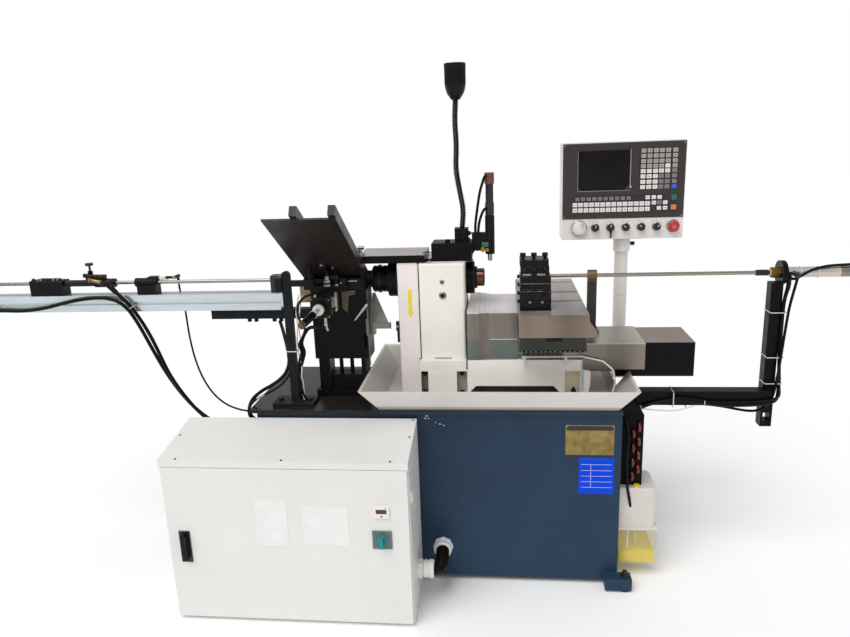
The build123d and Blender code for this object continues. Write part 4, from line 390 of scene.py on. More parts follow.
dressing = {
    "base_cabinet": base_paint, "levelling_bolts": bolt_steel, "chip_pan": pan_paint,
    "bed_casting": bed_paint,
    "motor_cover": motor_paint, "headstock": head_paint, "belt_cover": cover_paint,
    "spindle": spindle_finish,
    "rotary_cylinder": rotary_finish, "spindle_motor": motor_cast, "motor_pulley": cast_iron,
    "drive_belt": belt_rubber, "cylinder_guard": guard_paint, "valve_box": black_paint,
    "work_lamp": lamp_paint, "nozzle_cylinder": nozzle_paint, "nozzle_rod": trim_steel,
    "feed_rail": rail_alloy, "feed_cylinder": feed_finish, "valve_knob": knob_plastic,
    "push_rod": push_finish, "magazine_plate": plate_paint, "pedestal": pedestal_paint,
    "left_post": left_post_paint, "gate_cylinder": gate_body, "gate_rod": gate_finish,
    "discharge_chute": chute_steel, "fixed_way_cover": stage_steel, "cover_stage_1": cover_steel,
    "cover_stage_2": cover_steel, "carriage_covers": stage_steel, "saddle": saddle_cast,
    "cross_table": table_steel, "tool_block": tool_steel, "turning_tools": tool_steel,
    "outrigger": outrigger_paint, "stop_cylinder": stop_finish, "stop_rod": rod_finish,
    "pendant_column": column_paint, "pendant_box": pendant_paint, "handwheel": dial_finish,
    "estop_button": stop_red, "cabinet_body": cabinet_paint, "cabinet_door": cabinet_paint,
    "door_handle": handle_plastic, "switch_knob": teal_plastic, "mounting_plate": device_grey,
    "cable_glands": gland_nylon, "cooler": cooler_paint, "lubricator_body": pump_plastic,
    "lubricator_tank": clear_plastic,
    **{f"selector_knob_{i}": knob_plastic for i in range(1, 6)},
}
for name, material in dressing.items():
    for holder in nodes[name].material_slots:
        holder.material = material


# Hoses
def hose(name, node, route, radius):
    """One hose on its own spline, which repeats part.py's route in metres."""
    curve = bpy.data.curves.new(name, "CURVE")
    curve.dimensions = "3D"
    spline = curve.splines.new("NURBS")
    spline.points.add(len(route) - 1)
    for point, place in zip(spline.points, route):
        point.co = (*place, 1.0)
    spline.order_u = 3
    spline.use_endpoint_u = True
    spline.resolution_u = 10
    curve.bevel_depth = radius
    curve.bevel_resolution = 5
    curve.use_fill_caps = True
    curve.materials.append(hose_rubber)
    piece = bpy.data.objects.new(name, curve)
    bpy.context.collection.objects.link(piece)
    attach(piece, "machine")
    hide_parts(node)
    return piece


hose("near_feed_hose", "feed_hose_near", [
    (-1.162, -0.045, 1.003), (-1.136, -0.045, 0.977), (-1.104, -0.045, 0.942), (-1.076, -0.045, 0.898),
    (-1.050, -0.045, 0.848), (-1.029, -0.045, 0.796), (-1.011, -0.045, 0.744), (-0.993, -0.046, 0.694),
    (-0.969, -0.047, 0.645), (-0.939, -0.048, 0.597), (-0.904, -0.050, 0.550), (-0.862, -0.052, 0.508),
    (-0.812, -0.054, 0.476), (-0.756, -0.056, 0.455), (-0.700, -0.058, 0.445), (-0.654, -0.058, 0.441),
    (-0.614, -0.058, 0.441)], 0.0065)
hose("far_feed_hose", "feed_hose_far", [
    (-1.636, -0.044, 0.927), (-1.592, -0.044, 0.927), (-1.540, -0.044, 0.924), (-1.486, -0.044, 0.927),
    (-1.430, -0.044, 0.935), (-1.374, -0.044, 0.948), (-1.320, -0.044, 0.960), (-1.266, -0.044, 0.968),
    (-1.214, -0.044, 0.971), (-1.176, -0.044, 0.967), (-1.143, -0.044, 0.954), (-1.115, -0.044, 0.930),
    (-1.093, -0.044, 0.894), (-1.071, -0.044, 0.848), (-1.050, -0.043, 0.796), (-1.030, -0.042, 0.747),
    (-1.009, -0.040, 0.698), (-0.984, -0.038, 0.648), (-0.953, -0.036, 0.597), (-0.915, -0.034, 0.547),
    (-0.868, -0.032, 0.503), (-0.814, -0.030, 0.468), (-0.756, -0.028, 0.446), (-0.698, -0.027, 0.436),
    (-0.652, -0.026, 0.433), (-0.614, -0.026, 0.433)], 0.0065)
hose("slider_air_hose", "rail_air_hose", [
    (-0.950, 0.040, 1.0117), (-0.950, 0.040, 0.984), (-0.944, 0.040, 0.948), (-0.938, 0.040, 0.908),
    (-0.936, 0.040, 0.864), (-0.935, 0.040, 0.818), (-0.931, 0.040, 0.772), (-0.924, 0.040, 0.720),
    (-0.912, 0.040, 0.668), (-0.893, 0.040, 0.616), (-0.864, 0.040, 0.568), (-0.824, 0.040, 0.530),
    (-0.776, 0.040, 0.509), (-0.724, 0.040, 0.500), (-0.668, 0.040, 0.497), (-0.614, 0.040, 0.497)],
    0.0035)
hose("stop_air_hose", "arm_hose", [
    (1.182, -0.050, 1.0057), (1.176, -0.046, 0.962), (1.169, -0.043, 0.916), (1.165, -0.042, 0.868),
    (1.162, -0.041, 0.818), (1.159, -0.040, 0.766), (1.156, -0.039, 0.712), (1.152, -0.038, 0.658),
    (1.145, -0.040, 0.606), (1.130, -0.045, 0.572), (1.108, -0.045, 0.552), (1.076, -0.045, 0.545),
    (1.030, -0.045, 0.552), (0.980, -0.045, 0.563), (0.928, -0.045, 0.570), (0.874, -0.045, 0.573),
    (0.820, -0.045, 0.574), (0.766, -0.045, 0.573), (0.712, -0.045, 0.570), (0.662, -0.045, 0.562),
    (0.636, -0.045, 0.557), (0.611, -0.045, 0.557)], 0.0045)


# Detail pieces
MM = 0.001
SMOOTH_UP_TO = 38
BEVEL_FROM = 40


def turn_to(direction):
    """The turn that takes the upright axis to a direction."""
    return Vector((0, 0, 1)).rotation_difference(Vector(direction))


def between(p0, p1, p2, p3, t):
    """The place at share t from p1 to p2 on a smooth curve that also heeds p0 and p3."""
    return 0.5 * (2 * p1 + (p2 - p0) * t + (2 * p0 - 5 * p1 + 4 * p2 - p3) * t * t
                  + (3 * p1 - p0 - 3 * p2 + p3) * t ** 3)


def smooth_line(points, steps):
    """Places on a smooth curve through points, with steps places from each point to the next."""
    last = len(points) - 1
    line = []
    for i in range(last):
        near = (points[max(i - 1, 0)], points[i], points[i + 1], points[min(i + 2, last)])
        line += [between(*near, k / steps) for k in range(steps)]
    return line + [points[-1]]


class Piece:
    """One piece, modelled in edit mode from primitives. Places and sizes are in millimetres."""

    def __init__(self, name, body, material, bevel=0.4):
        self.name = name
        self.body = body
        self.material = material
        self.bevel = bevel

    def __enter__(self):
        self.piece = bpy.data.objects.new(self.name, bpy.data.meshes.new(self.name))
        bpy.context.collection.objects.link(self.piece)
        self.edit()
        return self

    def edit(self):
        bpy.ops.object.select_all(action="DESELECT")
        self.piece.select_set(True)
        bpy.context.view_layer.objects.active = self.piece
        bpy.ops.object.mode_set(mode="EDIT")

    def box(self, x0, x1, y0, y1, z0, z1):
        """A block between two corners."""
        bpy.ops.mesh.select_all(action="DESELECT")
        bpy.ops.mesh.primitive_cube_add(size=MM, scale=(x1 - x0, y1 - y0, z1 - z0),
                                        location=Vector((x0 + x1, y0 + y1, z0 + z1)) * MM / 2)

    def rod(self, a, b, r, sides=24):
        """A bar from a to b."""
        a, b = Vector(a), Vector(b)
        bpy.ops.mesh.select_all(action="DESELECT")
        bpy.ops.mesh.primitive_cylinder_add(vertices=sides, radius=r * MM, depth=(b - a).length * MM,
                                            location=(a + b) * MM / 2, rotation=turn_to(b - a).to_euler())

    def turned(self, a, direction, profile, sides=32, flutes=0):
        """A turned shape, drawn out ring by ring: profile is (distance along, radius[, flute depth])."""
        turn = turn_to(direction)
        axis = turn @ Vector((0, 0, 1))
        centres = [(Vector(a) + axis * ring[0]) * MM for ring in profile]
        bpy.ops.mesh.select_all(action="DESELECT")
        bpy.ops.mesh.primitive_circle_add(vertices=sides, radius=profile[0][1] * MM, fill_type="NGON",
                                          location=centres[0], rotation=turn.to_euler())
        for i in range(1, len(profile)):
            bpy.ops.mesh.extrude_region_move(
                TRANSFORM_OT_translate={"value": centres[i] - centres[i - 1]})
            if flutes:
                self.flute(centres[i], turn, flutes, *profile[i][1:])
            else:
                growth = profile[i][1] / profile[i - 1][1]
                bpy.ops.transform.resize(value=(growth, growth, growth), center_override=centres[i])

    def flute(self, centre, turn, flutes, r, deep=0.0):
        """Gives the selected ring its radius, with flutes pressed into it."""
        mesh = bmesh.from_edit_mesh(self.piece.data)
        for corner in mesh.verts:
            if corner.select:
                place = turn.inverted() @ (corner.co - centre)
                t = math.atan2(place.y, place.x)
                reach = (r - deep / 2 * (1 - math.cos(flutes * t))) * MM
                corner.co = centre + turn @ Vector((reach * math.cos(t), reach * math.sin(t), 0))
        bmesh.update_edit_mesh(self.piece.data)

    def pipe(self, points, r, sides=10, steps=6):
        """A round tube on a smooth line through points, from a curve with a round section."""
        bpy.ops.object.mode_set(mode="OBJECT")
        line = smooth_line([Vector(p) for p in points], steps)
        curve = bpy.data.curves.new("tube", "CURVE")
        curve.dimensions = "3D"
        spline = curve.splines.new("POLY")
        spline.points.add(len(line) - 1)
        for point, place in zip(spline.points, line):
            point.co = (*(place * MM), 1.0)
        curve.bevel_depth = r * MM
        curve.bevel_resolution = sides // 2 - 2
        curve.use_fill_caps = True
        tube = bpy.data.objects.new("tube", curve)
        bpy.context.collection.objects.link(tube)
        bpy.ops.object.select_all(action="DESELECT")
        tube.select_set(True)
        bpy.context.view_layer.objects.active = tube
        bpy.ops.object.convert(target="MESH")
        ends = tube.modifiers.new("ends", "WELD")
        ends.merge_threshold = 0.01 * MM
        bpy.ops.object.modifier_apply(modifier="ends")
        self.piece.select_set(True)
        bpy.context.view_layer.objects.active = self.piece
        bpy.ops.object.join()
        self.edit()

    def loop(self, centre, axis, big, small, sides=28, around=10):
        """A ring round an axis: big is the ring's radius and small its wire's."""
        bpy.ops.mesh.select_all(action="DESELECT")
        bpy.ops.mesh.primitive_torus_add(location=Vector(centre) * MM, rotation=turn_to(axis).to_euler(),
                                         major_radius=big * MM, minor_radius=small * MM,
                                         major_segments=sides, minor_segments=around)

    def sheet(self, outline, plane, low, high):
        """A flat outline made thick: plane "xz" lies across Y and "yz" across X."""
        def at(p, depth):
            return Vector((p[0], depth, p[1]) if plane == "xz" else (depth, p[0], p[1])) * MM
        bpy.ops.mesh.select_all(action="DESELECT")
        bpy.ops.mesh.primitive_circle_add(vertices=len(outline), fill_type="NGON")
        mesh = bmesh.from_edit_mesh(self.piece.data)
        for corner, p in zip([v for v in mesh.verts if v.select], outline):
            corner.co = at(p, low)
        mesh.normal_update()
        bmesh.update_edit_mesh(self.piece.data)
        bpy.ops.mesh.extrude_region_move(TRANSFORM_OT_translate={"value": at((0, 0), high - low)})

    def __exit__(self, kind, value, trace):
        if kind:
            return False
        bpy.ops.mesh.select_all(action="SELECT")
        bpy.ops.mesh.normals_make_consistent(inside=False)
        bpy.ops.object.mode_set(mode="OBJECT")
        bpy.ops.object.shade_smooth_by_angle(angle=math.radians(SMOOTH_UP_TO))
        mesh = self.piece.data
        mesh.materials.clear()
        mesh.materials.append(self.material)
        for face in mesh.polygons:
            face.material_index = 0
        if self.bevel:
            edge = self.piece.modifiers.new("edges", "BEVEL")
            edge.width = self.bevel * MM
            edge.segments = 2
            edge.limit_method = "ANGLE"
            edge.angle_limit = math.radians(BEVEL_FROM)
            bpy.ops.object.modifier_apply(modifier="edges")
        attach(self.piece, self.body)
        return False


# Control box: screen, recesses as dark sheets of painted shade, and keys on its dark panel
PANEL_FACE = 185.2
STRIP_FACE = 187.2
SELECTOR_XS = [568.5 + 53.5 * i for i in range(5)]
DIAL_X = 511
STOP_X = 840
CONTROLS_Z = 1155

with Piece("screen", "pendant", screen_glass, 0.6) as p:
    outline = [(506, 1424), (506, 1296), (520, 1287), (664, 1287), (683, 1305), (683, 1424)]
    p.sheet(outline, "xz", 183.6, PANEL_FACE)
with Piece("screen_frame", "pendant", trim_steel, 0.2) as p:
    p.box(503.5, 505.0, 183.0, PANEL_FACE, 1284, 1426)
    p.box(684.0, 687.0, 183.0, PANEL_FACE, 1292, 1426)
    p.box(505.0, 684.0, 183.4, PANEL_FACE, 1283.5, 1285.0)
# Dark sheets laid on the panel: painted shade for the recesses round the keys and above the screen.
with Piece("panel_recess_shade", "pendant", print_and_recess_shade, 0.3) as p:
    p.box(714, 848, 184.5, PANEL_FACE, 1284, 1430)
    p.box(484, 852, 184.5, PANEL_FACE, 1205, 1271)
    p.box(500, 690, 184.4, PANEL_FACE, 1426.5, 1430)
KEY_X = [729, 750, 771, 791, 812, 836]
KEY_Z = [1419, 1401, 1383, 1366, 1349, 1331, 1312, 1294]
groups = {"white": [], "grey": [], "dark": [], "blue": [(836, 1294, 17, 14)],
          "green": [(838, 1257, 18, 20)], "orange": [(838, 1222, 18, 17)]}
for row, z in enumerate(KEY_Z):
    for column, x in enumerate(KEY_X):
        if (row, column) == (7, 5):
            continue
        white = (row > 3 and column < 3) or (row, column) in ((3, 4), (4, 3), (4, 4))
        groups["white" if white else "grey" if row < 4 else "dark"].append((x, z, 16.5, 13.5))
for i in range(10):
    groups["dark"].append((504 + 19.8 * i, 1257, 14, 12))
for i in range(14):
    for z in (1237, 1217.5):
        groups["white"].append((496 + 19.4 * i, z, 16.5, 15))
ARROW_KEYS = [(748, 1258), (769, 1258), (789, 1258), (770, 1239), (809, 1239), (788, 1220), (809, 1220)]
groups["white"] += [(x, z, 15, 13) for x, z in ARROW_KEYS]
groups["dark"].append((789, 1239, 15, 13))
key_finishes = {"white": key_white, "grey": key_grey, "dark": key_dark, "blue": key_blue,
                "green": key_green, "orange": key_orange}
for label, keys in groups.items():
    with Piece(f"keys_{label}", "pendant", key_finishes[label], 0.9) as p:
        for x, z, wide, high in keys:
            p.box(x - wide / 2, x + wide / 2, 182.9, 184.8, z - high / 2, z + high / 2)
MARK_HALF_WIDTHS = (1.6, 2.6, 2.0)
with Piece("key_marks", "pendant", print_and_recess_shade, 0.0) as p:
    for label, keys in groups.items():
        if label in ("white", "grey", "dark"):
            for i, (x, z, *_) in enumerate(keys):
                half = MARK_HALF_WIDTHS[i % 3]
                p.box(x - half, x + half, 182.75, 182.95, z - 1.2, z + 1.2)
with Piece("panel_lamp", "pendant", white_plastic, 0.5) as p:
    p.rod((687, 183.4, 1297), (687, PANEL_FACE, 1297), 3.2)
# Front strip: rings round the selectors, tick marks, the key and the screws
with Piece("selector_rings", "pendant", trim_steel, 0.3) as p:
    for x in SELECTOR_XS:
        p.turned((x, STRIP_FACE, CONTROLS_Z), (0, -1, 0), [(0, 15.5), (2.2, 15.5), (3.6, 13.6)])
    p.loop((STOP_X, STRIP_FACE - 0.6, CONTROLS_Z), (0, -1, 0), 21.8, 1.6, 40)
TICK_ANGLES = [(-28, 0, 28), (-34, -12, 12, 34), (-20, 20), (-16, 16), (-50, -25, 0, 25, 50)]
TICK_RADIUS = 21.5
with Piece("tick_marks", "pendant", black_oxide, 0.0) as p:
    for selector_x, angles in zip(SELECTOR_XS, TICK_ANGLES):
        for angle in angles:
            t = math.radians(angle)
            x = selector_x + TICK_RADIUS * math.sin(t)
            z = CONTROLS_Z + TICK_RADIUS * math.cos(t)
            p.rod((x, STRIP_FACE - 0.45, z), (x, STRIP_FACE, z), 1.3, sides=12)
with Piece("switch_key", "pendant", black_oxide, 0.5) as p:
    p.box(620, 625, 168, 176, 1119, 1147)
    p.turned((622.5, 176, 1141), (0, -1, 0), [(0, 5), (5, 5), (6, 4)])
with Piece("pendant_screws", "pendant", screw_steel, 0.2) as p:
    for x in (458, 867):
        for z in (1193, 1443):
            p.turned((x, PANEL_FACE, z), (0, -1, 0), [(0, 3), (0.8, 2.8), (1.2, 1.8)], 16)
MARK_ANGLES = (0, 0, 52, 44, -48)
for i, (x, angle) in enumerate(zip(SELECTOR_XS, MARK_ANGLES), 1):
    t = math.radians(angle)
    with Piece(f"selector_mark_{i}", f"selector_{i}", white_plastic, 0.2) as p:
        along = Vector((-math.sin(t), 0, math.cos(t)))
        across = Vector((math.cos(t), 0, math.sin(t)))
        corners = [Vector((x, 0, CONTROLS_Z)) + along * a + across * b
                   for a, b in ((1, -1.1), (10.5, -1.1), (10.5, 1.1), (1, 1.1))]
        p.sheet([(c.x, c.z) for c in corners], "xz", 166.7, 167.3)
with Piece("dial_face", "dial", white_plastic, 0.5) as p:
    p.turned((DIAL_X, 173.2, CONTROLS_Z), (0, -1, 0), [(0, 22.5), (0.8, 22.5), (1.4, 21)])
with Piece("stop_ring", "estop", screw_steel, 0.3) as p:
    p.turned((STOP_X, 165.2, CONTROLS_Z), (0, -1, 0), [(0, 7), (0.6, 7), (1.0, 5.5)])

with Piece("pendant_plate", "pendant", black_oxide, 0.5) as p:
    p.box(640, 733, 205, 262, 1108.8, 1112.2)

# Electric cabinet: bare plates, counter window, lid screws and latch
DOOR_FACE = -511
COUNTER_FACE = -515.8

with Piece("door_plate_white", "door", plate_white, 0.3) as p:
    p.box(-530, -427, DOOR_FACE - 0.8, DOOR_FACE, 277, 433)
with Piece("door_plate_bare", "door", plate_white, 0.3) as p:
    p.box(-380, -237, DOOR_FACE - 0.8, DOOR_FACE, 283, 415)
with Piece("counter_window", "door", window_red, 0.3) as p:
    p.box(-150, -117, COUNTER_FACE - 0.9, COUNTER_FACE, 397, 411)
with Piece("counter_buttons", "door", black_oxide, 0.3) as p:
    p.box(-137, -129, COUNTER_FACE - 1, COUNTER_FACE, 387, 390)
    p.rod((-119, COUNTER_FACE - 1.1, 416), (-119, COUNTER_FACE, 416), 1.6)
with Piece("handle_pin", "door", screw_steel, 0.4) as p:
    p.turned((-764, -514, 300), (0, -1, 0), [(0, 6), (1.5, 6), (2.2, 4.5)])
with Piece("side_latch", "machine", white_plastic, 0.8) as p:
    p.box(-47, -41.5, -480, -462, 418, 452)
LID_SCREWS = [(-767, -502, 561), (-433, -502, 561), (-101, -502, 561), (-809, -371, 582),
              (-58, -371, 582), (-58, -271, 598)]
LID_NORMAL = (0, -0.158, 0.987)
with Piece("lid_screws", "machine", black_oxide, 0.2) as p:
    for place in LID_SCREWS:
        p.turned(place, LID_NORMAL, [(-1, 3.4), (1.6, 3.4), (2.4, 2.2)], 16)
with Piece("handle_boot", "handle", black_oxide, 0.6) as p:
    p.box(-771, -757, -530.5, -526, 230, 306)

# Base: bare plates and paint chips
BASE_FACE = -253.9
PLATE_FACE = -254.9

with Piece("brass_plate", "machine", plate_brass, 0.3) as p:
    p.box(433, 587, BASE_FACE - 1.1, BASE_FACE, 475, 578)
with Piece("brass_plate_band", "machine", print_and_recess_shade, 0.2) as p:
    p.box(436, 584, PLATE_FACE - 0.4, PLATE_FACE, 560, 575)
with Piece("blue_plate", "machine", plate_blue, 0.3) as p:
    p.box(477, 589, BASE_FACE - 1.1, BASE_FACE, 337, 463)
with Piece("blue_plate_lines", "machine", plate_white, 0.0) as p:
    for z in (441, 420, 400, 380, 360):
        p.box(484, 582, PLATE_FACE - 0.3, PLATE_FACE, z - 0.5, z + 0.5)
    p.box(515, 516, PLATE_FACE - 0.3, PLATE_FACE, 360, 441)
with Piece("plate_rivets", "machine", brass, 0.2) as p:
    for x, z in ((438, 480), (582, 480), (438, 573), (582, 573)):
        p.turned((x, PLATE_FACE - 0.3, z), (0, -1, 0), [(0, 2.6), (0.7, 2.3), (1.1, 1.2)], 16)
CHIPS = [(-14, 606, 6, 0.3), (-20, 598, 5, 1.2), (-9, 597, 4, 2.2), (28, 578, 5, 0.7), (40, 574, 4, 1.7),
         (14, 583, 3, 2.8)]
with Piece("paint_chips", "machine", plate_white, 0.0) as p:
    for middle_x, middle_z, size, turn in CHIPS:
        outline = [(middle_x + size * (0.6 + 0.4 * math.sin(5 * a + turn)) * math.cos(a),
                    middle_z + size * (0.35 + 0.3 * math.cos(3 * a + turn)) * math.sin(a))
                   for a in (2 * math.pi * k / 9 for k in range(9))]
        p.sheet(outline, "xz", BASE_FACE - 0.35, BASE_FACE)

# Headstock and belt cover: arrow, sight glass, port, bolts, bracket
with Piece("turn_arrow", "machine", yellow_film, 0.0) as p:
    p.sheet([(-78, 1001), (-65, 1001), (-65, 926), (-60.5, 926), (-71.5, 906), (-82.5, 926), (-78, 926)],
            "xz", -125.5, -124.9)
with Piece("sight_ring", "machine", screw_steel, 0.3) as p:
    p.turned((38, -124.9, 981), (0, -1, 0), [(0, 12), (2.5, 12), (4.5, 9.5)])
with Piece("sight_glass", "machine", screen_glass, 0.3) as p:
    p.turned((38, -129, 981), (0, -1, 0), [(0, 7), (1.2, 7), (1.8, 5)])
with Piece("oil_port", "machine", screw_steel, 0.3) as p:
    p.turned((37, -124.9, 1026), (0, -1, 0), [(0, 7.5), (2, 7.5), (3.2, 6)])
with Piece("oil_port_plug", "machine", black_oxide, 0.2) as p:
    p.rod((37, -129.2, 1026), (37, -127.8, 1026), 3.4, sides=6)
# A thin dark strip standing for the slot: painted shade.
with Piece("head_slot_shade", "machine", print_and_recess_shade, 0.2) as p:
    p.box(5, 63, -125.3, -124.8, 762.5, 765.5)
with Piece("head_bolts", "machine", black_oxide, 0.5) as p:
    for x in (-29, 97):
        p.rod((x, -136, 712), (x, -136, 725), 9, sides=6)
        p.rod((x, -136, 706), (x, -136, 712), 5)
        p.rod((x, -136, 642), (x, -136, 652), 8, sides=6)
    p.rod((468, -136, 642), (468, -136, 656), 9, sides=6)
    p.rod((468, -136, 656), (468, -136, 664), 5)
with Piece("bed_stripe", "machine", pale_blue, 0.3) as p:
    p.box(489.5, 500.5, -150.4, -149.9, 654, 757)
with Piece("cover_bracket", "machine", black_oxide, 0.8) as p:
    p.box(-123, -112, -124, -106, 860, 891)
    p.box(-120, -112, -122, -108, 819, 862)
with Piece("bracket_screw", "machine", screw_steel, 0.4) as p:
    p.turned((-117.5, -124, 876), (0, -1, 0), [(0, 5), (2.5, 5), (3.5, 3.5)])

# Work lamp: fluted shade over the head, ribs along the neck, knob and the rod to the nozzle's arm
LAMP_X = 90
LAMP_Y = -20
SHADE_PROFILE = [(1604, 9), (1607, 14), (1613, 20), (1622, 26.5), (1634, 31), (1648, 33.6),
                 (1654, 34.2, 2.6),
                 (1704, 34.8, 2.6), (1708, 35.2), (1714, 35.2), (1715.7, 34), (1716, 27)]
with Piece("lamp_shade", "machine", shade_paint, 0.0) as p:
    p.turned((LAMP_X, LAMP_Y, 0), (0, 0, 1), SHADE_PROFILE, sides=224, flutes=28)
NECK = [(102, 1187), (107, 1250), (96, 1318), (86, 1384), (89, 1462), (86, 1540), (90, 1612)]
RIB_STEP = 6
CLAMP_TOP = 1194
with Piece("neck_ribs", "machine", neck_steel, 0.0) as p:
    for i in range(len(NECK) - 1):
        (low_x, low_z), (high_x, high_z) = NECK[i], NECK[i + 1]
        before, after = NECK[max(i - 1, 0)][0], NECK[min(i + 2, len(NECK) - 1)][0]
        rise = high_z - low_z
        steps = round(rise / RIB_STEP)
        for k in range(steps):
            x = between(before, low_x, high_x, after, k / steps)
            z = low_z + rise * k / steps
            if z > CLAMP_TOP:
                p.loop((x, LAMP_Y, z), ((high_x - low_x) / rise, 0, 1), 8.2, 1.9, 20, 6)
with Piece("lamp_clamp", "machine", black_oxide, 0.5) as p:
    p.turned((123, -20, 1172), (1, 0, 0), [(-1, 8), (5, 8), (7, 6)])
    p.rod((128, -20, 1172), (142, -20, 1172), 3)
    p.rod((122, -20, 1152), (128, -20, 1152), 6, sides=6)
    p.turned((54, -50, 1146.8), (0, 0, 1), [(0, 8), (8, 8), (10, 6)])
    p.rod((88, -43.5, 1160), (88, -47, 1160), 5, sides=6)
    p.rod((110, -43.5, 1178), (110, -47, 1178), 5, sides=6)
    p.box(-4, 139, -77, -75, 1087, 1094)

# Magazine: stop block and adjusting screws between the pedestal's head and the sloping plate
with Piece("magazine_block", "machine", black_oxide, 0.8) as p:
    p.box(-404, -279, -150, -131, 1002.8, 1024)
    p.box(-430, -225, -128, -104, 1005.8, 1044)
    p.box(-300, -279, -150, -140, 1020, 1048)
    p.sheet([(-148, 1075.6), (-206, 1111.6), (-206, 1096), (-176, 1066), (-148, 1062)], "yz", -352, -330)
    p.sheet([(-142, 1071.9), (-186, 1099.2), (-186, 1086), (-160, 1062), (-142, 1062)], "yz", -318, -306)
    p.rod((-341, -155, 1022), (-341, -155, 1066), 7)
    p.rod((-312, -148, 1022), (-312, -148, 1064), 4.5)
    p.box(-332, -304, -150, -134, 1046, 1060)
with Piece("magazine_screws", "machine", screw_steel, 0.4) as p:
    p.rod((-341, -155, 1024), (-341, -155, 1031), 13, sides=6)
    p.rod((-341, -155, 1036), (-341, -155, 1045), 12, sides=6)
    p.rod((-341, -155, 1045), (-341, -155, 1058), 8.5)
    p.rod((-312, -148, 1024), (-312, -148, 1030), 8, sides=6)
    p.turned((-344, -204, 1103), (0, -0.85, -0.53), [(-4, 5), (3, 5), (4, 3.5)], 20)
    p.turned((-312, -186, 1092), (0, -0.85, -0.53), [(-4, 4), (3, 4), (4, 3)], 20)
    p.turned((-296, -150, 1034), (0, -1, 0), [(0, 4), (3, 4), (4, 3)], 20)
with Piece("magazine_strut", "machine", trim_steel, 0.5) as p:
    p.sheet([(-264, 900), (-258, 900), (-214, 950), (-214, 957), (-221, 957)], "xz", -132.5, -129.8)
    p.box(-277, -246, -130.5, -127.5, 1033, 1037)
with Piece("pedestal_strip", "machine", strip_grey, 0.4) as p:
    p.box(-219, -214.5, -131.5, -128, 740, 939)
    p.box(-224, -216, -132, -129.8, 846, 905)
with Piece("post_fitting", "machine", screw_steel, 0.4) as p:
    p.rod((-238, -88, 1112.8), (-238, -88, 1124), 9, sides=6)
    p.rod((-238, -88, 1122), (-238, -88, 1136), 6.5)
    p.rod((-246, -88, 1139), (-224, -88, 1139), 6)
    p.rod((-228, -88, 1112.8), (-228, -88, 1121), 5)
with Piece("trough_cheek", "machine", cheek_tan, 0.6) as p:
    outline = [(-301, 1004), (-252, 1004), (-256, 989), (-276, 986), (-284, 926), (-300, 944)]
    p.sheet(outline, "xz", -134.5, -129.8)
with Piece("cover_lip", "machine", cover_paint, 0.6) as p:
    p.box(-47.3, -42.6, -124.8, -119, 763, 1086)

# Carriage: seam, the recess under the table guard as a dark sheet of painted shade, and its screws
with Piece("cover_seam", "carriage", plate_white, 0.0) as p:
    p.box(160, 283, -144.5, -143.9, 833.4, 835.2)
# A dark sheet on the saddle's face: painted shade in the recess under the table guard.
with Piece("saddle_recess_shade", "carriage", painted_recess_shade, 0.4) as p:
    p.box(288, 493, -250.6, -249.8, 822, 882)
with Piece("saddle_patch", "carriage", black_oxide, 0.4) as p:
    p.box(368, 420, -251.2, -250.4, 856, 882)
with Piece("wiper_strip", "carriage", black_oxide, 0.4) as p:
    p.box(286, 494, -251.6, -249.6, 820.5, 827)
with Piece("wiper_screws", "carriage", screw_steel, 0.2) as p:
    for i in range(14):
        p.turned((293 + 15 * i, -251.4, 823.7), (0, -1, 0), [(0, 2.4), (0.8, 2.4), (1.3, 1.6)], 12)

with Piece("tool_screws", "cross_slide", black_oxide, 0.5) as p:
    for x in (303, 333, 364):
        p.turned((x, -247.8, 1086), (0, -1, 0), [(0, 7.5), (6, 7.5), (8, 6)], 24)
        p.rod((x, -253.4, 1086), (x, -256.5, 1086), 3.6, sides=6)
    for z in (1062, 1036, 1010, 984):
        p.turned((288.2, -236, z), (-1, 0, 0), [(0, 6), (6, 6), (7.5, 4.5)], 20)
    # A thin dark plate across the block's lower part: painted shade for its recess.
    p.box(302, 372, -252.7, -251.8, 968, 998)
with Piece("tool_bolts", "cross_slide", screw_steel, 0.5) as p:
    for x in (319, 357):
        p.turned((x, -252.6, 983), (0, -1, 0), [(0, 4.5), (2.4, 4.5), (3.4, 3)], 24)
    for x in (310, 353):
        p.box(x - 13, x + 13, -254, -247.8, 1067, 1073)
    for x in (303, 333, 364):
        p.turned((x, -233, 1101.5), (0, 0, 1), [(0, 4.5), (6, 4.5), (7, 3.2)], 16)
with Piece("tool_edges", "cross_slide", screw_steel, 0.1) as p:
    p.box(290, 382, -252.4, -251.8, 1041, 1042.2)
    p.box(290, 382, -252.4, -251.8, 1017, 1018)

# Feed cylinder, slider and rail details
with Piece("feed_fitting", "machine", plate_brass, 0.5) as p:
    p.rod((-1250, -34, 1035), (-1203, -38, 1026), 7)
    p.rod((-1252, -34, 1035.4), (-1243, -35, 1033.7), 9.5, sides=6)
    p.rod((-1212, -37, 1028), (-1202, -38, 1026), 9, sides=6)
with Piece("feed_joint", "machine", black_oxide, 0.6) as p:
    p.rod((-1204, -39, 1026), (-1176, -42, 1019), 8)
    p.rod((-1180, -42, 1020), (-1158, -45, 1004), 9.5)
    p.rod((-1274, -26, 1050), (-1200, -30, 1041), 8)
    p.rod((-1248, -30, 1038), (-1232, -24, 1050), 5)
with Piece("clamp_screws", "machine", screw_steel, 0.2) as p:
    for x in (-1452, -1404, -1386):
        p.turned((x, -12, 1030.8), (0, 0, 1), [(0, 6), (7, 6), (8.5, 4)], 16)
    p.box(-1466, -1396, -4, 8, 1030.8, 1037)
with Piece("clamp_bolts", "machine", black_oxide, 0.4) as p:
    for x in (-1480, -1428, -1376):
        p.turned((x, -16, 1030.8), (0, 0, 1), [(0, 7), (5, 7), (5.2, 5), (9, 5)], 20)
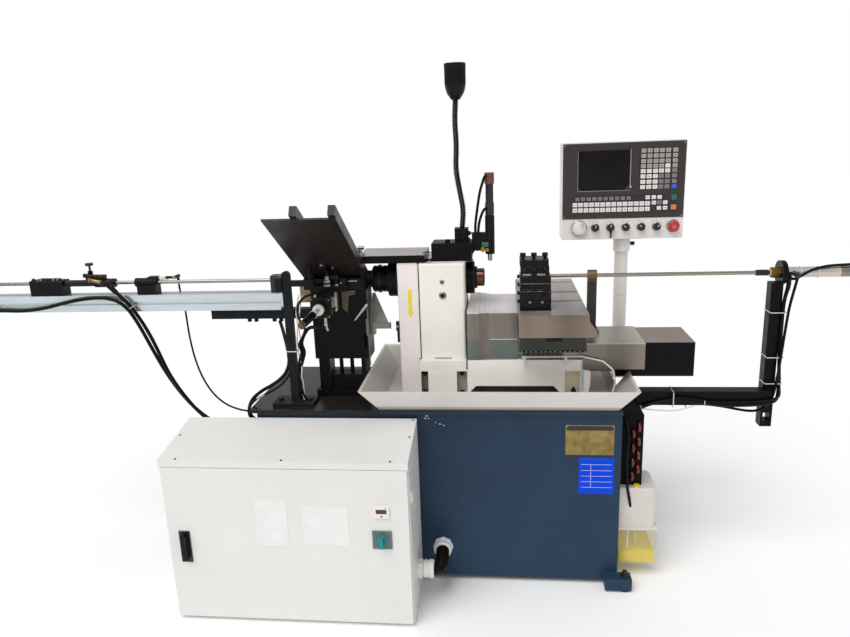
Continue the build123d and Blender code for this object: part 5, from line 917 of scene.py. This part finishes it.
with Piece("hose_ferrule", "machine", black_oxide, 0.5) as p:
    p.rod((-1163, -45, 1004.5), (-1148, -45, 988.5), 9.0)
with Piece("feed_tie", "machine", tie_nylon, 0.2) as p:
    p.loop((-1096, -44.8, 934), (0.55, 0, -0.83), 10.5, 1.2)
with Piece("support_bolts", "machine", black_oxide, 0.4) as p:
    for x in (-678, -560, -653, -585):
        p.rod((x, 0, 866), (x, 0, 880), 8, sides=6)

with Piece("slider_fitting", "machine", white_plastic, 0.4) as p:
    p.rod((-1009, 14, 1026), (-978, 14, 1021), 5.5)
    p.rod((-1004, 14, 1025.2), (-998, 14, 1024.2), 8, sides=6)
# Gate cylinder: tie rods, screws, fittings and its hoses
GATE_X = -347
GATE_Z = 970
TIE_ROD_REACH = 26
with Piece("gate_tie_rods", "machine", screw_steel, 0.3) as p:
    for x in (GATE_X - TIE_ROD_REACH, GATE_X + TIE_ROD_REACH):
        for z in (GATE_Z - TIE_ROD_REACH, GATE_Z + TIE_ROD_REACH):
            p.rod((x, -222, z), (x, -150, z), 3.5)
            p.rod((x, -246, z), (x, -242, z), 5, sides=6)
with Piece("gate_fittings", "machine", trim_steel, 0.4) as p:
    p.rod((-335, -232, 915), (-335, -232, 937.5), 5, sides=6)
    p.rod((-335, -232, 906), (-326, -240, 893), 4.5)
    p.rod((-335, -232, 918), (-335, -232, 906), 6.5)
    p.rod((-365, -232, 1002.5), (-365, -232, 1013), 5, sides=6)
with Piece("gate_air_tube", "machine", hose_rubber, 0.0) as p:
    p.pipe([(-365, -232, 1010), (-379, -233, 1012), (-404, -234, 1002), (-424, -232, 976),
            (-428, -226, 944),
            (-424, -214, 916), (-414, -202, 892)], 4)
with Piece("post_cables", "machine", hose_rubber, 0.0) as p:
    p.pipe([(-335, -235, 906), (-362, -226, 900), (-396, -206, 896), (-420, -195, 872), (-434, -190, 837),
            (-428, -189, 806), (-437, -188, 775), (-447, -190, 742), (-449, -191, 700), (-452, -192, 664),
            (-447, -187, 640), (-446, -184, 628)], 6)
    p.pipe([(-414, -202, 892), (-424, -199, 866), (-441, -195, 836), (-436, -196, 806), (-446, -195, 776),
            (-449, -196, 738), (-446, -198, 690), (-440, -197, 660), (-432, -194, 640),
            (-428, -192, 628)], 4)
with Piece("post_air_tubes", "machine", tie_nylon, 0.0) as p:
    p.pipe([(-430, -190, 1002), (-438, -186, 980), (-446, -185, 940), (-444, -186, 900),
            (-449, -188, 850),
            (-447, -190, 800), (-440, -192, 750), (-447, -194, 700), (-445, -191, 660),
            (-442, -188, 628)], 2.5)
    p.pipe([(-418, -188, 1000), (-430, -184, 968), (-438, -184, 920), (-440, -188, 880),
            (-436, -190, 836),
            (-441, -188, 790), (-444, -188, 740), (-440, -190, 690), (-438, -192, 640),
            (-437, -192, 628)], 2.5)
with Piece("post_tie", "machine", tie_nylon, 0.2) as p:
    p.box(-486, -450, -200, -197.8, 809.5, 812.5)
    p.box(-486, -450, -182.2, -180, 809.5, 812.5)
    p.box(-486, -483, -200, -180, 809.5, 812.5)
    p.box(-453, -450, -200, -180, 809.5, 812.5)

# Nozzle cylinder: hoses, brass valve and its body, and the guard's cable coil
with Piece("nozzle_hoses", "machine", hose_rubber, 0.0) as p:
    p.pipe([(184, -42, 1362), (179, -48, 1356), (170, -48, 1330), (163, -46, 1304), (155, -45, 1256),
            (148, -44, 1206), (147, -40, 1172)], 4.5)
    p.pipe([(184, -42, 1256), (177, -48, 1252), (168, -47, 1234), (160, -46, 1206), (156, -42, 1172)],
           4.5)
    p.pipe([(141, -30, 1117), (136, -32, 1108), (128, -36, 1100), (118, -52, 1098), (112, -76, 1096)],
           3.5)
with Piece("nozzle_valve", "machine", brass, 0.5) as p:
    p.rod((172, -60, 1121), (172, -43, 1121), 9, sides=6)
    p.rod((186, -56, 1119), (186, -43, 1119), 6, sides=6)
    p.turned((172, -59, 1121), (0, -1, 0), [(0, 6), (6, 6), (8, 4.5)])
with Piece("nozzle_valve_body", "machine", green_paint, 0.6) as p:
    p.box(168, 190, -50, -43.5, 1128, 1144)
with Piece("guard_cable_coil", "machine", hose_rubber, 0.0) as p:
    for i in range(3):
        p.loop((-22 + 6 * i, -98, 1092.5 + 2.6 * i), (0.1 * i - 0.1, 0.35, 1), 13 - i, 1.5)
    p.pipe([(-8, -96, 1093), (0, -80, 1092), (4, -74.6, 1094)], 1.5)
    p.pipe([(-30, -60, 1114.5), (-18, -60, 1117), (-8, -60, 1116), (1, -60, 1113)], 1.6)

# Right end: ties on the mast and the arm, and the tube along the cylinder
MAST_TIES = [(887, 1166), (732, 1168), (640, 1171)]
with Piece("mast_ties", "machine", tie_nylon, 0.2) as p:
    for z, reach in MAST_TIES:
        p.box(1113, reach, -38, -36, z, z + 2.4)
        p.box(1113, reach, 20, 22, z, z + 2.4)
        p.box(1113, 1115, -38, 22, z, z + 2.4)
        p.box(reach - 2, reach, -38, 22, z, z + 2.4)
with Piece("mast_bundle", "machine", hose_rubber, 0.0) as p:
    p.pipe([(1160, -34, 1006), (1163, -29, 976), (1158, -27, 936), (1156, -26, 900), (1156, -26, 820),
            (1157, -26, 744), (1160, -27, 690), (1163, -28, 650), (1160, -36, 612), (1146, -60, 594),
            (1120, -73, 586), (1098, -74, 582), (1034, -74, 578), (969, -74, 579), (910, -74, 586),
            (857, -74, 594), (798, -73, 596), (746, -73, 585), (700, -72, 567), (664, -64, 552),
            (640, -50, 552), (611.5, -40, 556)], 6)
    p.pipe([(1168, -26, 1012), (1170, -22, 976), (1163, -18, 936), (1160, -18, 890), (1160, -18, 740),
            (1165, -18, 680), (1166, -20, 640), (1158, -50, 606), (1130, -73, 598), (1080, -74, 591),
            (1000, -74, 588), (930, -75, 590), (860, -75, 602), (800, -74, 604)], 5)
with Piece("arm_cable", "machine", tie_nylon, 0.0) as p:
    p.pipe([(880, -76, 577), (871, -76, 574), (832, -76, 562), (793, -76, 558), (745, -76, 561),
            (704, -76, 564),
            (676, -72, 552), (650, -60, 548), (611.5, -52, 552)], 2.2)
with Piece("arm_ties", "machine", tie_nylon, 0.2) as p:
    p.box(806, 808.6, -82, -80, 572, 626)
    p.box(806, 808.6, -20, -18, 572, 626)
    p.box(806, 808.6, -82, -18, 624, 626)
    p.box(806, 808.6, -82, -18, 572, 574)
    p.loop((910, -74, 588), (1, 0, 0), 8, 1.3)
    p.loop((700, -73, 567), (1, 0, -0.4), 8, 1.3)
    p.loop((857, -45, 565), (1, 0, 0), 6, 1.2)
with Piece("cylinder_top_tube", "machine", hose_rubber, 0.0) as p:
    p.pipe([(1166, -27, 1002), (1182, -29, 1000), (1201, -26, 1008), (1226, -22, 1022), (1254, -17, 1032),
            (1290, -12, 1038), (1330, -8, 1040), (1372, -3, 1040), (1390, -2, 1034)], 4.5)
with Piece("tube_tie", "machine", tie_nylon, 0.2) as p:
    p.loop((1262, 0, 1017), (1, 0, 0), 18.4, 1.3, 40)
    p.loop((1207, 0, 1017), (1, 0, 0), 18.4, 1.3, 40)

# Conduit between the cabinet and the base: big glands and a corrugated elbow
with Piece("conduit_nuts", "machine", white_plastic, 1.0) as p:
    p.rod((-47.2, -388, 130), (-30, -388, 130), 31, sides=6)
    p.turned((-30, -388, 130), (1, 0, 0), [(0, 25), (4, 25), (5, 29), (12, 29), (13, 27), (20, 27),
                                           (21, 29.5),
                                           (34, 29.5), (37, 26)], 40)
    p.rod((26, -254, 132), (26, -268, 132), 34, sides=8)
    p.turned((26, -268, 132), (0, -1, 0), [(0, 27), (4, 30), (16, 30), (20, 26)], 40)
ELBOW = [(4, -388, 130), (16, -386, 130), (25, -374, 130), (28, -356, 131), (28, -334, 132),
         (27, -310, 132),
         (26, -284, 132)]
with Piece("conduit_elbow", "machine", hose_rubber, 0.0) as p:
    p.pipe(ELBOW, 20, 28)
    points = [Vector(e) for e in ELBOW]
    for a, b in zip(points, points[1:]):
        for k in range(3):
            p.loop(a.lerp(b, (k + 0.5) / 3), b - a, 20, 2.2, 32, 6)

# Cooler and lubricator
with Piece("lubricator_cable", "machine", hose_rubber, 0.0) as p:
    p.pipe([(612, -190, 590), (622, -208, 588), (631, -216, 570), (638, -217, 520), (635, -217, 470),
            (634, -217, 431), (637, -218, 380), (641, -219, 340), (648, -219, 300), (653, -214, 272)],
            4.5)
with Piece("cooler_bends", "machine", copper, 0.0) as p:
    for x, heights in ((657, (373, 423, 473, 523)), (674, (398, 448, 498, 548))):
        for z in heights:
            p.loop((x, -191, z), (1, 0, 0), 14, 5.6, 32, 12)
with Piece("oil_fill", "machine", oil, 0.4) as p:
    p.box(621, 737, -208, -82, 59, 103)
with Piece("oil_pipe", "machine", white_plastic, 0.3) as p:
    p.rod((652, -190, 84), (652, -190, 184), 3.5)
with Piece("oil_filter", "machine", black_oxide, 0.4) as p:
    p.rod((652, -190, 64), (652, -190, 86), 7)
with Piece("column_weld", "machine", column_paint, 0.0) as p:
    p.loop((672, 240, 905), (0, 0, 1), 24, 1.4, 48)


# Floor and light
FLOOR_REACH = 30
floor = bpy.data.meshes.new("floor")
corners = [(-FLOOR_REACH, -FLOOR_REACH, 0), (FLOOR_REACH, -FLOOR_REACH, 0), (FLOOR_REACH, FLOOR_REACH, 0),
           (-FLOOR_REACH, FLOOR_REACH, 0)]
floor.from_pydata(corners, [], [(0, 1, 2, 3)])
floor_piece = bpy.data.objects.new("floor", floor)
bpy.context.collection.objects.link(floor_piece)
floor_finish = finish("floor_finish", "#fbfbfb", 0.7, vary=0.01, scale=1.5, specular=0.1)
floor.materials.append(floor_finish)

SKY_ON_OBJECT = 0.60
SUN_STRENGTH = 1.75
SUN_SOFTNESS = 0.7
SUN_DIRECTION = (0.28, 0.45, -0.85)

world = bpy.data.worlds.new("studio")
bpy.context.scene.world = world
world.use_nodes = True
tree = world.node_tree
tree.nodes.clear()
n = Nodes(tree)
rays = n.add("ShaderNodeLightPath")
seen = n.math("MAXIMUM", rays.outputs["Is Camera Ray"], rays.outputs["Is Transmission Ray"])
sky = n.add("ShaderNodeBackground", Color=(1, 1, 1, 1), Strength=n.ramp(seen, 0.0, 1.0, SKY_ON_OBJECT,
                                                                        1.0))
tree.links.new(sky.outputs[0], n.add("ShaderNodeOutputWorld").inputs[0])

sun = bpy.data.lights.new("key", "SUN")
sun.energy = SUN_STRENGTH
sun.angle = SUN_SOFTNESS
key = bpy.data.objects.new("key", sun)
bpy.context.collection.objects.link(key)
key.rotation_euler = Vector(SUN_DIRECTION).to_track_quat("-Z", "Y").to_euler()
bpy.context.scene.view_settings.view_transform = "Standard"
